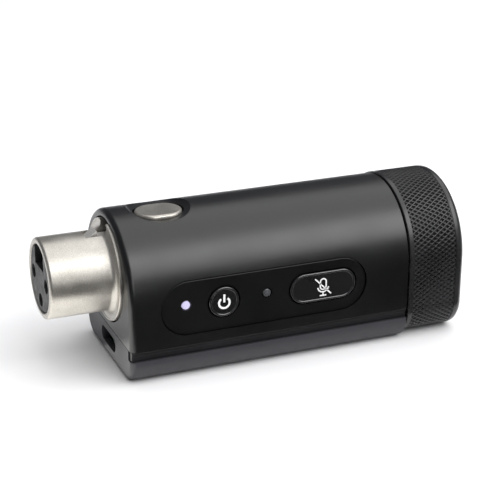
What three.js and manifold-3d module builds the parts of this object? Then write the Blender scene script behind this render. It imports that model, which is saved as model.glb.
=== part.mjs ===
// Plug-on wireless microphone transmitter: a three-pin audio socket on the nose, an arch-shaped
// body with a side control panel, and a knurled end cap over the antenna.
// Millimetres. While it is built, X runs from the nose tip to the cap, the panel faces -Y,
// and Y = Z = 0 is the socket's axis. The last group moves it to stand on Z = 0.
import * as THREE from "three";
import { mergeVertices } from "three/addons/utils/BufferGeometryUtils.js";
import Module from "manifold-3d";

const wasm = await Module();
wasm.setup();

// ---------------------------------------------------------------- driving dimensions
const SEAT_GAP = 0.1; // between two pieces that seat on each other
const FIT_GAP = 0.3; // round a piece that drops into another
const RUN_GAP = 0.08; // radial, round a turning pin

// overall lengths, along X
const NOSE_LENGTH = 13.3;
const HOUSING_LENGTH = 58.2;
const CAP_LENGTH = 12.3;
const CAP_GAP = 0.3;

// body section: a half circle over straight sides
const BODY_RADIUS = 14.54;
const BODY_DROP = 15.93; // from the arc's centre down to the underside
const BODY_CORNER = 4.4;
const ARC_Z = -2.87; // the arc's centre, below the socket's axis
const EDGE_ROUND = 1.2;
const WALL = 1.5;
const FRONT_WALL = 3.2;

// levels where the shells part
const SEAM_TOP_RISE = 7.1; // lower edge of the upper housing, above the underside
const SEAM_LOW_RISE = 5.15; // underside of the tray between the shells
const SEAM_GAP = 0.15;
const TRAY_INSET = 0.25;
const BASE_WALL = 1.4;
const BASE_PANEL_INSET = 1.84; // of the raised end panel, from the body's side

// end cap
const CAP_PROUD = 0.2;
const CAP_CORNER = 6.9;
const CAP_ROUND = 1.4;
const CAP_WALL = 1.7;
const CAP_END_WALL = 2.0;
const SPIGOT_LENGTH = 2.6;
const SPIGOT_WALL = 1.1;

// audio socket
const NOSE_RADIUS = 7.95;
const NOSE_ROUND = 0.6;
const NOSE_WALL = 1.2;
const FLANGE_RADIUS = 10.13;
const FLANGE_PROUD = 0.35;
const FLANGE_THICK = 1.6;
const FLANGE_FILLET = 1.2;
const FLANGE_EDGE = 0.2; // broken edge of its rim
const SLEEVE_STEP = 0.25; // the sleeve behind the flange is this much larger than the nose
const INSERT_GAP = 0.15;
const INSERT_PROUD = 0.5; // behind the sleeve
const CONTACT_EDGE = 2.2; // from the insert's edge in to a contact's middle
const CONTACT_MOUTH_RADIUS = 1.35;
const CONTACT_RADIUS = 1.55;
const CONTACT_BORE = 1.2;
const CONTACT_TUBE_LENGTH = 12;
const CONTACT_TAIL_RADIUS = 0.7;
const CONTACT_TAIL_PROUD = 0.6; // behind the connector board
const CONTACT_DEPTH = 1; // from the nose's tip to the contacts
const CONTACT_END_WALL = 1;
const CONTACT_MOUTH_DEPTH = 2;
const KEYWAY_HALF = 2.9;
const KEYWAY_Z = 2.3;
const KEYWAY_STOP = 2; // from its end to the latch tooth
const GASKET_THICK = 0.5;
const WASHER_THICK = 0.4;
const WASHER_INSET = 0.6; // its edge, inside the nut's
const NUT_THICK = 1;
const NUT_RING = 1.4;
const NUT_SIDES = 12;
const CONNECTOR_BOARD_GAP = 2.5; // behind the sleeve
const CONNECTOR_BOARD_HALF = 7.4;
const CONNECTOR_BOARD_TOP = 3.6;

// latch
const LATCH_HALF = 1.35; // half width of the lever
const LATCH_SLOT_HALF = 1.9;
const LATCH_SLOT_END = 0.25; // ahead of the tooth
const TOOTH_SETBACK = 4.15; // its front edge, ahead of the end face
const TOOTH_LENGTH = 2.1;
const TOOTH_FRONT_SINK = 0.75; // its front edge, below the nose's surface
const RIDGE_RISE = 0.65; // its ridge, above the nose's surface
const RIDGE_SLOPE = 0.15; // the length its back face leans over
const HEEL_SINK = 0.65; // the heel behind the tooth, below the nose's surface
const HEEL_BEHIND = 1.2; // the heel's end, behind the end face
const ARM_SINK = 0.95; // the lever's top, below the nose's surface
const ARM_THICK = 1.2;
const BUTTON_ARM = 9.5; // from the release button's middle to the pivot
const PIN_RADIUS = 0.8;
const HUB_RADIUS = 1.9;
const LEVER_TAIL = 5.6; // from the pivot to the lever's rear end
const SPRING_ARM = 4.1; // from the pivot to the spring
const SPRING_RADIUS = 0.95;
const SPRING_WIRE = 0.22;
const SPRING_TURNS = 3.5;
const EAR_THICK = 1.4;
const EAR_HALF_LENGTH = 2.4;

// release button, in a scooped hollow in the roof
const RELEASE_OFFSET = 10.7; // behind the end face
const RELEASE_LENGTH = 9.5;
const RELEASE_WIDTH = 7.2;
const RELEASE_SINK = 0.8; // its top, below the roof line
const RELEASE_THICK = 1.9;
const RELEASE_LIP = 0.7; // how far its flange reaches out under the roof
const RELEASE_FLANGE = 0.6;
const RELEASE_ROUND = 0.35;
const SCOOP_HALF = [6.59, 12.3, 2.3];
const SCOOP_RISE = 0.83; // the scoop's centre, above the roof line

// control panel on the -Y side
const PANEL_OFFSET = 27.5; // its middle, behind the end face
const PANEL_SINK = 1.36; // its middle, below the arc's centre
const PANEL_LENGTH = 42.6;
const PANEL_HEIGHT = 10.8;
const PANEL_RECESS = 0.3;
const PANEL_THICK = 1.1;
const PANEL_GAP = 0.12;
const WINDOW_LENGTH = 40;
const WINDOW_HEIGHT = 8.4;
const FRAME_THICK = 2.64; // wall round the window
const BUTTON_PROUD = 0.25;
const BUTTON_GAP = 0.28;
const BUTTON_TRAVEL = 0.4;
const BUTTON_LIP = 0.45;
const BUTTON_FLANGE = 0.6;
const BUTTON_ROUND = 0.2;
const POWER_OFFSET = -8.65; // along the panel, from its middle
const POWER_RADIUS = 3.05;
const MUTE_OFFSET = 12.05;
const MUTE_LENGTH = 13.9;
const MUTE_HEIGHT = 6.1;
const BUTTON_RISE = 0.18; // above the panel's middle
const STATUS_LED_OFFSET = -16.3;
const MUTE_LED_OFFSET = 0.25;
const LIGHT_PIPE_RADIUS = 0.98;
const LIGHT_PIPE_LIP = 0.4;
const LIGHT_PIPE_PROUD = 0.05;
const LED_RISE = 0.53;

// boards and cell
const BOARD_THICK = 0.8;
const CONTROL_BOARD_GAP = 2.3; // from the window frame to the board
const CONTROL_BOARD_END_GAP = 0.6;
const CONTROL_BOARD_DROP = 4.6; // its lower edge, below the panel's middle
const SWITCH_SIDE = 3.6;
const SWITCH_HEIGHT = 0.55;
const PLUNGER_RADIUS = 0.9;
const PLUNGER_HEIGHT = 0.25;
const STANDOFF_RADIUS = 1.5;
const STANDOFF_POWER_OFFSET = -4.2; // from each button's middle
const STANDOFF_MUTE_OFFSET = 4.6;
const BOARD_SCREW_RADIUS = 0.6;
const BOARD_SCREW_HOLE = 0.8;
const BOARD_SCREW_HEAD_RADIUS = 1.4;
const BOARD_SCREW_HEAD_HEIGHT = 0.8;
const BOARD_SCREW_END_GAP = 0.4;
const LED_HALF = 0.8;
const LED_HEIGHT = 0.6;
const MAIN_BOARD_LIFT = 0.5;
const CELL_LENGTH = 35;
const CELL_WIDTH = 18.6;
const CELL_HEIGHT = 9.2;
const CELL_OFFSET = 13.7; // behind the end face
const CELL_Y = 2.2; // middle of the cell
const HOLDER_THICK = 0.8;
const HOLDER_RIM = 4;
const HOLDER_LEG = 2;
const BOARD_SIDE_GAP = 1.44;
const BOARD_FRONT_GAP = 1.6; // behind the connector board
const BOARD_POST_GAP = 0.6; // ahead of the rear screw posts
const PAD_RADIUS = 1.6;
const PAD_INSET = 2.2;
const PART_HEIGHT = 1.7; // of the shield and the plug on the main board
const SHIELD_LENGTH = 14;
const SHIELD_HALF = 5.5;
const SHIELD_WALL = 0.3;
const SHIELD_END_GAP = 3.4;
const PLUG_OFFSET = 1.7; // battery plug, behind the connector board
const PLUG_LENGTH = 1.6;
const PLUG_WIDTH = 5;
const PLUG_Y = -3.1;
const ANTENNA_HALF = 6.4;
const ANTENNA_DROP = 1; // below the arc's centre
const SHELF_LENGTH = 4;
const SHELF_THICK = 1.5;

// charging port
const USB_RISE = 3.95; // its middle, above the underside
const USB_WIDTH = 8.9;
const USB_HEIGHT = 3.1;
const USB_DEPTH = 6.6;
const USB_SHELL_WALL = 0.3;
const USB_BACK_WALL = 1.2;
const TONGUE_SETBACK = 1;
const TONGUE_HALF_WIDTH = 3.3;
const TONGUE_HALF_THICK = 0.35;
const PORT_BOARD_THICK = 0.6;
const PORT_BOARD_HALF = 6.6;
const PORT_BOARD_TAIL = 1.2; // behind the board connector
const LINK_OFFSET = 16; // board connector, behind the end face
const LINK_LENGTH = 3.4;
const LINK_HALF = 4;

// screws
const SCREW_FRONT_INSET = 5.9;
const SCREW_REAR_INSET = 5.1;
const SCREW_SIDE_INSET = 4.94;
const POST_RADIUS = 1.9;
const POST_HEIGHT = 4.7;
const SCREW_RADIUS = 0.95;
const SCREW_HEAD_RADIUS = 1.8;
const SCREW_HEAD_HEIGHT = 1.1;
const SCREW_HOLE_GAP = 0.2;

// facets on the large curves
const ROOF_STEPS = 32;
const CORNER_STEPS = 6;

// ---------------------------------------------------------------- places worked out from them
const FACE_X = NOSE_LENGTH;
const REAR_X = FACE_X + HOUSING_LENGTH;
const CAP_X = REAR_X + CAP_GAP;
const END_X = CAP_X + CAP_LENGTH;
const BOTTOM_Z = ARC_Z - BODY_DROP;
const ROOF_Z = ARC_Z + BODY_RADIUS;
const SEAM_TOP_Z = BOTTOM_Z + SEAM_TOP_RISE;
const SEAM_LOW_Z = BOTTOM_Z + SEAM_LOW_RISE;
const BASE_PANEL_HALF = BODY_RADIUS - BASE_PANEL_INSET;
const BORE_RADIUS = NOSE_RADIUS - NOSE_WALL;
const INSERT_RADIUS = BORE_RADIUS - INSERT_GAP;
const CONTACT_CIRCLE = INSERT_RADIUS - CONTACT_EDGE;
const SLEEVE_RADIUS = NOSE_RADIUS + SLEEVE_STEP;
const NUT_RADIUS = SLEEVE_RADIUS + NUT_RING;
const FLANGE_FRONT_X = FACE_X - FLANGE_PROUD;
const FLANGE_BACK_X = FLANGE_FRONT_X + FLANGE_THICK;
const POCKET_X = FLANGE_BACK_X + GASKET_THICK + 2 * SEAT_GAP;
const WALL_BACK_X = FACE_X + FRONT_WALL;
const TOOTH_X = FACE_X - TOOTH_SETBACK;
const RIDGE_X = TOOTH_X + TOOTH_LENGTH;
const TOOTH_FRONT_Z = NOSE_RADIUS - TOOTH_FRONT_SINK;
const RIDGE_Z = NOSE_RADIUS + RIDGE_RISE;
const ARM_TOP_Z = NOSE_RADIUS - ARM_SINK;
const ARM_MIDDLE_Z = ARM_TOP_Z - ARM_THICK / 2;
const RELEASE_X = FACE_X + RELEASE_OFFSET;
const RELEASE_TOP_Z = ROOF_Z - RELEASE_SINK;
const SLEEVE_END_X = RELEASE_X - RELEASE_LENGTH / 2 - RELEASE_LIP - FIT_GAP;
const PIVOT_X = RELEASE_X + BUTTON_ARM;
const PANEL_X = FACE_X + PANEL_OFFSET;
const PANEL_Z = ARC_Z - PANEL_SINK;
const POWER_X = PANEL_X + POWER_OFFSET;
const MUTE_X = PANEL_X + MUTE_OFFSET;
const BUTTON_Z = PANEL_Z + BUTTON_RISE;
const LED_Z = PANEL_Z + LED_RISE;
const PANEL_FACE_Y = PANEL_RECESS - BODY_RADIUS;
const FRAME_Y = FRAME_THICK - BODY_RADIUS;
const CONTROL_BOARD_Y = FRAME_Y + CONTROL_BOARD_GAP;
const PANEL_BACK_Y = PANEL_FACE_Y + PANEL_THICK;
const PANEL_SEAT_Y = PANEL_BACK_Y + SEAT_GAP;
const BUTTON_FLANGE_Y = PANEL_SEAT_Y + SEAT_GAP; // where the buttons' flanges begin
const SWITCH_TOP_Y = CONTROL_BOARD_Y - SEAT_GAP - SWITCH_HEIGHT - PLUNGER_HEIGHT;
const STEM_END_Y = SWITCH_TOP_Y - BUTTON_TRAVEL - SEAT_GAP;
const WELL_TOP_OF_FLANGE_Z = RELEASE_TOP_Z - RELEASE_THICK;
const WELL_FLOOR_Z = WELL_TOP_OF_FLANGE_Z + SEAT_GAP;
const RELEASE_FOOT_Z = WELL_TOP_OF_FLANGE_Z - RELEASE_FLANGE;
const TRAY_TOP_Z = SEAM_TOP_Z - SEAM_GAP;
const TRAY_BOTTOM_Z = SEAM_LOW_Z;
const BASE_TOP_Z = TRAY_BOTTOM_Z - SEAM_GAP;
const MAIN_BOARD_Z = TRAY_TOP_Z + MAIN_BOARD_LIFT;
const MAIN_BOARD_TOP_Z = MAIN_BOARD_Z + BOARD_THICK;
const HOLDER_Z = MAIN_BOARD_TOP_Z + PART_HEIGHT + 5 * SEAT_GAP;
const CELL_Z = HOLDER_Z + HOLDER_THICK + SEAT_GAP;
const CELL_X = FACE_X + CELL_OFFSET;
const CONNECTOR_BOARD_X = SLEEVE_END_X + CONNECTOR_BOARD_GAP;
const ANTENNA_Z = ARC_Z - ANTENNA_DROP;
const USB_Z = BOTTOM_Z + USB_RISE;
const SCREW_FRONT_X = FACE_X + SCREW_FRONT_INSET;
const SCREW_REAR_X = REAR_X - SCREW_REAR_INSET;
const SCREW_Y = BODY_RADIUS - SCREW_SIDE_INSET;
const POST_TOP_Z = SEAM_TOP_Z + POST_HEIGHT;
const PORT_X = FACE_X + BASE_WALL + FIT_GAP; // front of the charging port's shell
const PORT_BOARD_TOP_Z = USB_Z - USB_HEIGHT / 2 - SEAT_GAP;
const TRAY_NOTCH_X = FACE_X + BASE_WALL + FIT_GAP;

// ---------------------------------------------------------------- solids
const ALONG_X = new THREE.Matrix4().makeBasis(
  new THREE.Vector3(0, 1, 0),
  new THREE.Vector3(0, 0, 1),
  new THREE.Vector3(1, 0, 0),
);
const ALONG_Y = new THREE.Matrix4().makeBasis(
  new THREE.Vector3(1, 0, 0),
  new THREE.Vector3(0, 0, 1),
  new THREE.Vector3(0, -1, 0),
);

function solidOf(geometry) {
  const bare = new THREE.BufferGeometry();
  const flat = geometry.index ? geometry.toNonIndexed() : geometry;
  bare.setAttribute("position", flat.getAttribute("position"));
  const merged = mergeVertices(bare, 1e-4);
  const mesh = new wasm.Mesh({
    numProp: 3,
    vertProperties: merged.attributes.position.array,
    triVerts: new Uint32Array(merged.index.array),
  });
  return new wasm.Manifold(mesh);
}

function geometryOf(solid) {
  const mesh = solid.getMesh();
  const places = new Float32Array(mesh.numVert * 3);
  for (let i = 0; i < mesh.numVert; i++) {
    const start = i * mesh.numProp;
    places.set(mesh.vertProperties.subarray(start, start + 3), i * 3);
  }
  const geometry = new THREE.BufferGeometry();
  geometry.setAttribute("position", new THREE.BufferAttribute(places, 3));
  geometry.setIndex(new THREE.BufferAttribute(new Uint32Array(mesh.triVerts), 1));
  geometry.computeVertexNormals();
  return geometry;
}

const join = (first, ...rest) => rest.reduce((whole, part) => whole.add(part), first);
const cut = (first, ...rest) => rest.reduce((whole, part) => whole.subtract(part), first);

// An extrusion from low to high, with its own frame turned by basis; round softens both ends.
function extrusion(shape, low, high, basis, round = 0, steps = 6) {
  const geometry = new THREE.ExtrudeGeometry(shape, {
    depth: high - low - 2 * round,
    curveSegments: steps,
    bevelEnabled: round > 0,
    bevelThickness: round,
    bevelSize: round,
    bevelOffset: -round,
    bevelSegments: 2,
  });
  geometry.translate(0, 0, low + round);
  if (basis) geometry.applyMatrix4(basis);
  return solidOf(geometry);
}

const alongX = (shape, x0, x1, round, steps) => extrusion(shape, x0, x1, ALONG_X, round, steps);
// Depth runs towards -Y here, so the two ends swap.
const alongY = (shape, y0, y1, round, steps) => extrusion(shape, -y1, -y0, ALONG_Y, round, steps);
const alongZ = (shape, z0, z1, round, steps) => extrusion(shape, z0, z1, null, round, steps);

function box(x0, x1, y0, y1, z0, z1) {
  const geometry = new THREE.BoxGeometry(x1 - x0, y1 - y0, z1 - z0);
  geometry.translate((x0 + x1) / 2, (y0 + y1) / 2, (z0 + z1) / 2);
  return solidOf(geometry);
}

function rodX(radius, x0, x1, y = 0, z = 0, sides = 24) {
  const geometry = new THREE.CylinderGeometry(radius, radius, x1 - x0, sides);
  geometry.rotateZ(-Math.PI / 2);
  geometry.translate((x0 + x1) / 2, y, z);
  return solidOf(geometry);
}

function rodY(radius, y0, y1, x, z, sides = 24) {
  const geometry = new THREE.CylinderGeometry(radius, radius, y1 - y0, sides);
  geometry.translate(x, (y0 + y1) / 2, z);
  return solidOf(geometry);
}

function rodZ(radius, z0, z1, x, y, sides = 24) {
  const geometry = new THREE.CylinderGeometry(radius, radius, z1 - z0, sides);
  geometry.rotateX(Math.PI / 2);
  geometry.translate(x, y, (z0 + z1) / 2);
  return solidOf(geometry);
}

function arcPoints(u, v, radius, from, to, count) {
  return Array.from({ length: count + 1 }, (_, i) => {
    const angle = from + ((to - from) * i) / count;
    return new THREE.Vector2(u + radius * Math.cos(angle), v + radius * Math.sin(angle));
  });
}

// The body's section in (Y, Z): a half circle, straight sides and two rounded bottom corners.
function arch(radius, drop, corner) {
  const low = ARC_Z - drop + corner;
  const side = radius - corner;
  return new THREE.Shape([
    ...arcPoints(0, ARC_Z, radius, 0, Math.PI, ROOF_STEPS),
    ...arcPoints(-side, low, corner, Math.PI, 1.5 * Math.PI, CORNER_STEPS),
    ...arcPoints(side, low, corner, 1.5 * Math.PI, 2 * Math.PI, CORNER_STEPS),
  ]);
}

function stadium(length, height, x = 0, y = 0) {
  const shape = new THREE.Shape();
  const half = (length - height) / 2;
  shape.absarc(x + half, y, height / 2, -Math.PI / 2, Math.PI / 2, false);
  shape.absarc(x - half, y, height / 2, Math.PI / 2, 1.5 * Math.PI, false);
  return shape;
}

function outline(points) {
  const shape = new THREE.Shape();
  points.forEach(([u, v], i) => (i ? shape.lineTo(u, v) : shape.moveTo(u, v)));
  return shape;
}

// A profile of [x, radius] points, turned round the socket's axis.
function turnedX(profile, sides = 48) {
  const points = profile.map(([x, radius]) => new THREE.Vector2(radius, x));
  const geometry = new THREE.LatheGeometry(points, sides);
  geometry.rotateZ(-Math.PI / 2);
  const solid = solidOf(geometry);
  return solid.volume() < 0 ? solidOf(geometry.scale(1, -1, 1)) : solid;
}

// ---------------------------------------------------------------- the scene
const transmitter = new THREE.Group();
const work = new THREE.Group();
work.position.set(-END_X / 2, 0, -BOTTOM_Z);
transmitter.add(work);

function piece(name, solid, color, roughness, metalness) {
  const material = new THREE.MeshStandardMaterial({ color, roughness, metalness });
  const mesh = new THREE.Mesh(geometryOf(solid), material);
  mesh.name = name;
  work.add(mesh);
}

const screwPlaces = [
  [SCREW_FRONT_X, -SCREW_Y],
  [SCREW_FRONT_X, SCREW_Y],
  [SCREW_REAR_X, -SCREW_Y],
  [SCREW_REAR_X, SCREW_Y],
];
const standoffPlaces = [
  [POWER_X + STANDOFF_POWER_OFFSET, PANEL_Z + WINDOW_HEIGHT / 2 + STANDOFF_RADIUS],
  [MUTE_X + STANDOFF_MUTE_OFFSET, PANEL_Z + WINDOW_HEIGHT / 2 + STANDOFF_RADIUS],
];

// ---------------------------------------------------------------- shells
const flangePocket = () => rodX(FLANGE_RADIUS + FIT_GAP, 0, POCKET_X, 0, 0, 48);

function upperHousing() {
  let shell = alongX(
    arch(BODY_RADIUS, BODY_DROP, BODY_CORNER), FACE_X, REAR_X + 2 * EDGE_ROUND, EDGE_ROUND,
  );
  const wide = 2 * BODY_RADIUS;
  shell = cut(
    shell,
    box(REAR_X, END_X, -wide, wide, -wide, wide),
    box(0, END_X, -wide, wide, -wide, SEAM_TOP_Z),
    alongX(arch(BODY_RADIUS - WALL, BODY_DROP + 2, 1), WALL_BACK_X, END_X),
  );
  const inside = alongX(
    arch(BODY_RADIUS - WALL / 2, BODY_DROP, BODY_CORNER), FACE_X + WALL, REAR_X - WALL,
  );
  const wellHalfLength = RELEASE_LENGTH / 2 + RELEASE_LIP + FIT_GAP;
  const wellHalfWidth = RELEASE_WIDTH / 2 + RELEASE_LIP + WALL;
  const well = box(
    RELEASE_X - wellHalfLength, RELEASE_X + wellHalfLength,
    -wellHalfWidth, wellHalfWidth, WELL_FLOOR_Z, ROOF_Z,
  );
  const frameHalfLength = PANEL_LENGTH / 2 + WALL;
  const frame = box(
    PANEL_X - frameHalfLength, PANEL_X + frameHalfLength, -BODY_RADIUS, FRAME_Y,
    SEAM_TOP_Z, PANEL_Z + PANEL_HEIGHT / 2 + WALL,
  );
  const earInner = LATCH_HALF + FIT_GAP;
  const ears = [-1, 1].map((side) => {
    const y = side * (earInner + EAR_THICK / 2);
    return box(
      PIVOT_X - EAR_HALF_LENGTH, PIVOT_X + EAR_HALF_LENGTH, y - EAR_THICK / 2,
      y + EAR_THICK / 2, ARM_MIDDLE_Z - HUB_RADIUS, ROOF_Z,
    );
  });
  const posts = screwPlaces.map(([x, y]) => {
    const wallSide = Math.sign(y) * (BODY_RADIUS - WALL / 2);
    return join(
      rodZ(POST_RADIUS, SEAM_TOP_Z, POST_TOP_Z, x, y),
      box(
        x - POST_RADIUS, x + POST_RADIUS, Math.min(y, wallSide), Math.max(y, wallSide),
        SEAM_TOP_Z, POST_TOP_Z,
      ),
    );
  });
  const standoffs = standoffPlaces.map(([x, z]) =>
    rodY(STANDOFF_RADIUS, -BODY_RADIUS, CONTROL_BOARD_Y - SEAT_GAP, x, z),
  );
  shell = join(shell, join(well, frame, ...ears, ...posts, ...standoffs).intersect(inside));
  const scoop = new THREE.SphereGeometry(1, 40, 24);
  scoop.scale(...SCOOP_HALF);
  scoop.translate(RELEASE_X, 0, ROOF_Z + SCOOP_RISE);
  const button = stadium(
    RELEASE_LENGTH + 2 * FIT_GAP, RELEASE_WIDTH + 2 * FIT_GAP, RELEASE_X, 0,
  );
  return cut(
    shell,
    solidOf(scoop),
    alongZ(button, 0, ROOF_Z),
    flangePocket(),
    rodX(SLEEVE_RADIUS + FIT_GAP, 0, WALL_BACK_X + 1, 0, 0, 48),
    alongY(
      stadium(PANEL_LENGTH + 2 * PANEL_GAP, PANEL_HEIGHT + 2 * PANEL_GAP, PANEL_X, PANEL_Z),
      -wide, PANEL_SEAT_Y,
    ),
    alongY(stadium(WINDOW_LENGTH, WINDOW_HEIGHT, PANEL_X, PANEL_Z), -wide, FRAME_Y + 1),
    rodY(PIN_RADIUS + RUN_GAP, -2 * EAR_THICK - earInner, 2 * EAR_THICK + earInner,
      PIVOT_X, ARM_MIDDLE_Z),
    ...screwPlaces.map(([x, y]) =>
      rodZ(SCREW_RADIUS + SCREW_HOLE_GAP, BOTTOM_Z, POST_TOP_Z - WALL / 2, x, y, 16),
    ),
    ...standoffPlaces.map(([x, z]) => rodY(BOARD_SCREW_HOLE, FRAME_Y, 0, x, z, 12)),
  );
}

function baseCover() {
  const wide = 2 * BODY_RADIUS;
  const shell = alongX(
    arch(BODY_RADIUS, BODY_DROP, BODY_CORNER), FACE_X, REAR_X + 2 * EDGE_ROUND, EDGE_ROUND,
  );
  const hollow = alongX(
    arch(BODY_RADIUS - BASE_WALL, BODY_DROP - BASE_WALL, BODY_CORNER - BASE_WALL),
    FACE_X + BASE_WALL, END_X,
  );
  const upper = SEAM_TOP_Z - SEAM_GAP;
  const cover = cut(
    shell, hollow,
    box(REAR_X, END_X, -wide, wide, -wide, wide),
    box(0, END_X, -wide, wide, upper, wide),
    box(FACE_X + BASE_WALL, END_X, -wide, wide, BASE_TOP_Z, wide),
    box(0, END_X, BASE_PANEL_HALF, wide, BASE_TOP_Z, wide),
    box(0, END_X, -wide, -BASE_PANEL_HALF, BASE_TOP_Z, wide),
    flangePocket(),
    alongX(stadium(USB_WIDTH + 2 * SEAT_GAP, USB_HEIGHT - SEAT_GAP, 0, USB_Z), 0, PORT_X),
  );
  const bosses = screwPlaces.map(([x, y]) =>
    rodZ(POST_RADIUS + FIT_GAP, BOTTOM_Z + WALL / 2, BASE_TOP_Z - SEAT_GAP, x, y),
  );
  const holes = screwPlaces.flatMap(([x, y]) => [
    rodZ(SCREW_RADIUS + SCREW_HOLE_GAP, BOTTOM_Z - 1, BASE_TOP_Z + 1, x, y, 16),
    rodZ(SCREW_HEAD_RADIUS + SCREW_HOLE_GAP, BOTTOM_Z - 1,
      BOTTOM_Z + SCREW_HEAD_HEIGHT + 2 * SEAT_GAP, x, y),
  ]);
  return cut(join(cover, ...bosses), ...holes);
}

function chassisTray() {
  const half = BODY_RADIUS - TRAY_INSET;
  const tongue = SPIGOT_LENGTH + SEAT_GAP;
  const plate = box(FACE_X + TRAY_INSET, REAR_X - SEAT_GAP, -half, half, TRAY_BOTTOM_Z,
    TRAY_TOP_Z);
  const notch = BASE_PANEL_HALF + FIT_GAP;
  const spigotHalf = BODY_RADIUS - WALL;
  const portHalf = USB_WIDTH / 2 + FIT_GAP;
  const pads = screwPads().map(([x, y]) =>
    rodZ(PAD_RADIUS, TRAY_TOP_Z - 1, MAIN_BOARD_Z - SEAT_GAP, x, y, 16),
  );
  return cut(
    join(plate, ...pads),
    box(0, TRAY_NOTCH_X, -notch, notch, -BODY_RADIUS, 0),
    box(REAR_X - tongue, END_X, -spigotHalf, spigotHalf, BOTTOM_Z, 0),
    box(0, PORT_X + USB_DEPTH + FIT_GAP, -portHalf, portHalf, BOTTOM_Z, 0),
    box(LINK_X0 - FIT_GAP, LINK_X1 + FIT_GAP, -LINK_HALF - FIT_GAP, LINK_HALF + FIT_GAP,
      BOTTOM_Z, 0),
    ...screwPlaces.map(([x, y]) =>
      rodZ(SCREW_RADIUS + SCREW_HOLE_GAP, BOTTOM_Z, 0, x, y, 16),
    ),
  );
}

function endCap() {
  const outer = arch(BODY_RADIUS + CAP_PROUD, BODY_DROP, CAP_CORNER);
  const hollow = arch(
    BODY_RADIUS + CAP_PROUD - CAP_WALL, BODY_DROP - CAP_WALL, CAP_CORNER - CAP_WALL,
  );
  const spigotRadius = BODY_RADIUS - WALL - FIT_GAP;
  const spigotDrop = BODY_DROP - WALL - FIT_GAP;
  const spigotCorner = BODY_CORNER - WALL - FIT_GAP;
  const wide = 2 * BODY_RADIUS;
  const skirt = cut(
    alongX(outer, CAP_X - 2 * CAP_ROUND, END_X, CAP_ROUND),
    box(0, CAP_X, -wide, wide, -wide, wide),
  );
  const spigot = alongX(
    arch(spigotRadius, spigotDrop, spigotCorner), REAR_X - SPIGOT_LENGTH, CAP_X + CAP_WALL / 2,
  );
  const mouth = arch(
    spigotRadius - SPIGOT_WALL, spigotDrop - SPIGOT_WALL, spigotCorner - SPIGOT_WALL,
  );
  const wall = END_X - CAP_END_WALL;
  const shelf = box(
    wall - SHELF_LENGTH, wall + CAP_END_WALL / 2, -ANTENNA_HALF, ANTENNA_HALF,
    ANTENNA_Z - SEAT_GAP - SHELF_THICK, ANTENNA_Z - SEAT_GAP,
  );
  const hollows = join(
    alongX(mouth, 0, CAP_X + 2 * CAP_WALL),
    alongX(hollow, CAP_X + CAP_WALL, wall),
  );
  return join(cut(join(skirt, spigot), hollows), shelf);
}

// ---------------------------------------------------------------- audio socket
function xlrBarrel() {
  const arc = (x, r, radius, from, to, steps) =>
    Array.from({ length: steps + 1 }, (_, i) => {
      const angle = from + ((to - from) * i) / steps;
      return [x + radius * Math.cos(angle), r + radius * Math.sin(angle)];
    });
  const profile = [
    [0, BORE_RADIUS],
    ...arc(NOSE_ROUND, NOSE_RADIUS - NOSE_ROUND, NOSE_ROUND, Math.PI, Math.PI / 2, 4),
    ...arc(FLANGE_FRONT_X - FLANGE_FILLET, NOSE_RADIUS + FLANGE_FILLET, FLANGE_FILLET,
      -Math.PI / 2, 0, 5),
    [FLANGE_FRONT_X, FLANGE_RADIUS - FLANGE_EDGE],
    [FLANGE_FRONT_X + FLANGE_EDGE, FLANGE_RADIUS],
    [FLANGE_BACK_X, FLANGE_RADIUS],
    [FLANGE_BACK_X, SLEEVE_RADIUS],
    [SLEEVE_END_X, SLEEVE_RADIUS],
    [SLEEVE_END_X, BORE_RADIUS],
    [0, BORE_RADIUS],
  ];
  const slot = box(
    TOOTH_X - LATCH_SLOT_END, SLEEVE_END_X + 1, -LATCH_SLOT_HALF, LATCH_SLOT_HALF,
    KEYWAY_Z, 2 * FLANGE_RADIUS,
  );
  return cut(turnedX(profile), slot);
}

const contactPlaces = [0, 1, 2].map((i) => {
  const angle = -Math.PI / 2 + (i - 1) * (Math.PI / 2);
  return [CONTACT_CIRCLE * Math.cos(angle), CONTACT_CIRCLE * Math.sin(angle)];
});

function xlrInsert() {
  const end = SLEEVE_END_X + INSERT_PROUD;
  const keywayEnd = TOOTH_X - KEYWAY_STOP;
  return cut(
    rodX(INSERT_RADIUS, 0, end, 0, 0, 40),
    box(-1, keywayEnd, -KEYWAY_HALF, KEYWAY_HALF, KEYWAY_Z, NOSE_RADIUS),
    box(keywayEnd - SEAT_GAP, end + 1, -LATCH_SLOT_HALF, LATCH_SLOT_HALF, KEYWAY_Z + 1, NOSE_RADIUS),
    ...contactPlaces.flatMap(([y, z]) => [
      rodX(CONTACT_MOUTH_RADIUS, -1, CONTACT_MOUTH_DEPTH, y, z, 20),
      rodX(CONTACT_RADIUS + SEAT_GAP, CONTACT_DEPTH, end + 1, y, z, 20),
    ]),
  );
}

function xlrContact([y, z]) {
  const start = CONTACT_DEPTH + SEAT_GAP;
  return cut(
    join(
      rodX(CONTACT_RADIUS, start, start + CONTACT_TUBE_LENGTH, y, z, 20),
      rodX(CONTACT_TAIL_RADIUS, start, CONNECTOR_BOARD_X + BOARD_THICK + CONTACT_TAIL_PROUD, y,
        z, 12),
    ),
    rodX(CONTACT_BORE, 0, start + CONTACT_TUBE_LENGTH - CONTACT_END_WALL, y, z, 20),
  );
}

function ring(outer, inner, x0, x1, sides = 48) {
  return cut(rodX(outer, x0, x1, 0, 0, sides), rodX(inner, x0 - 1, x1 + 1, 0, 0, 48));
}

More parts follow.
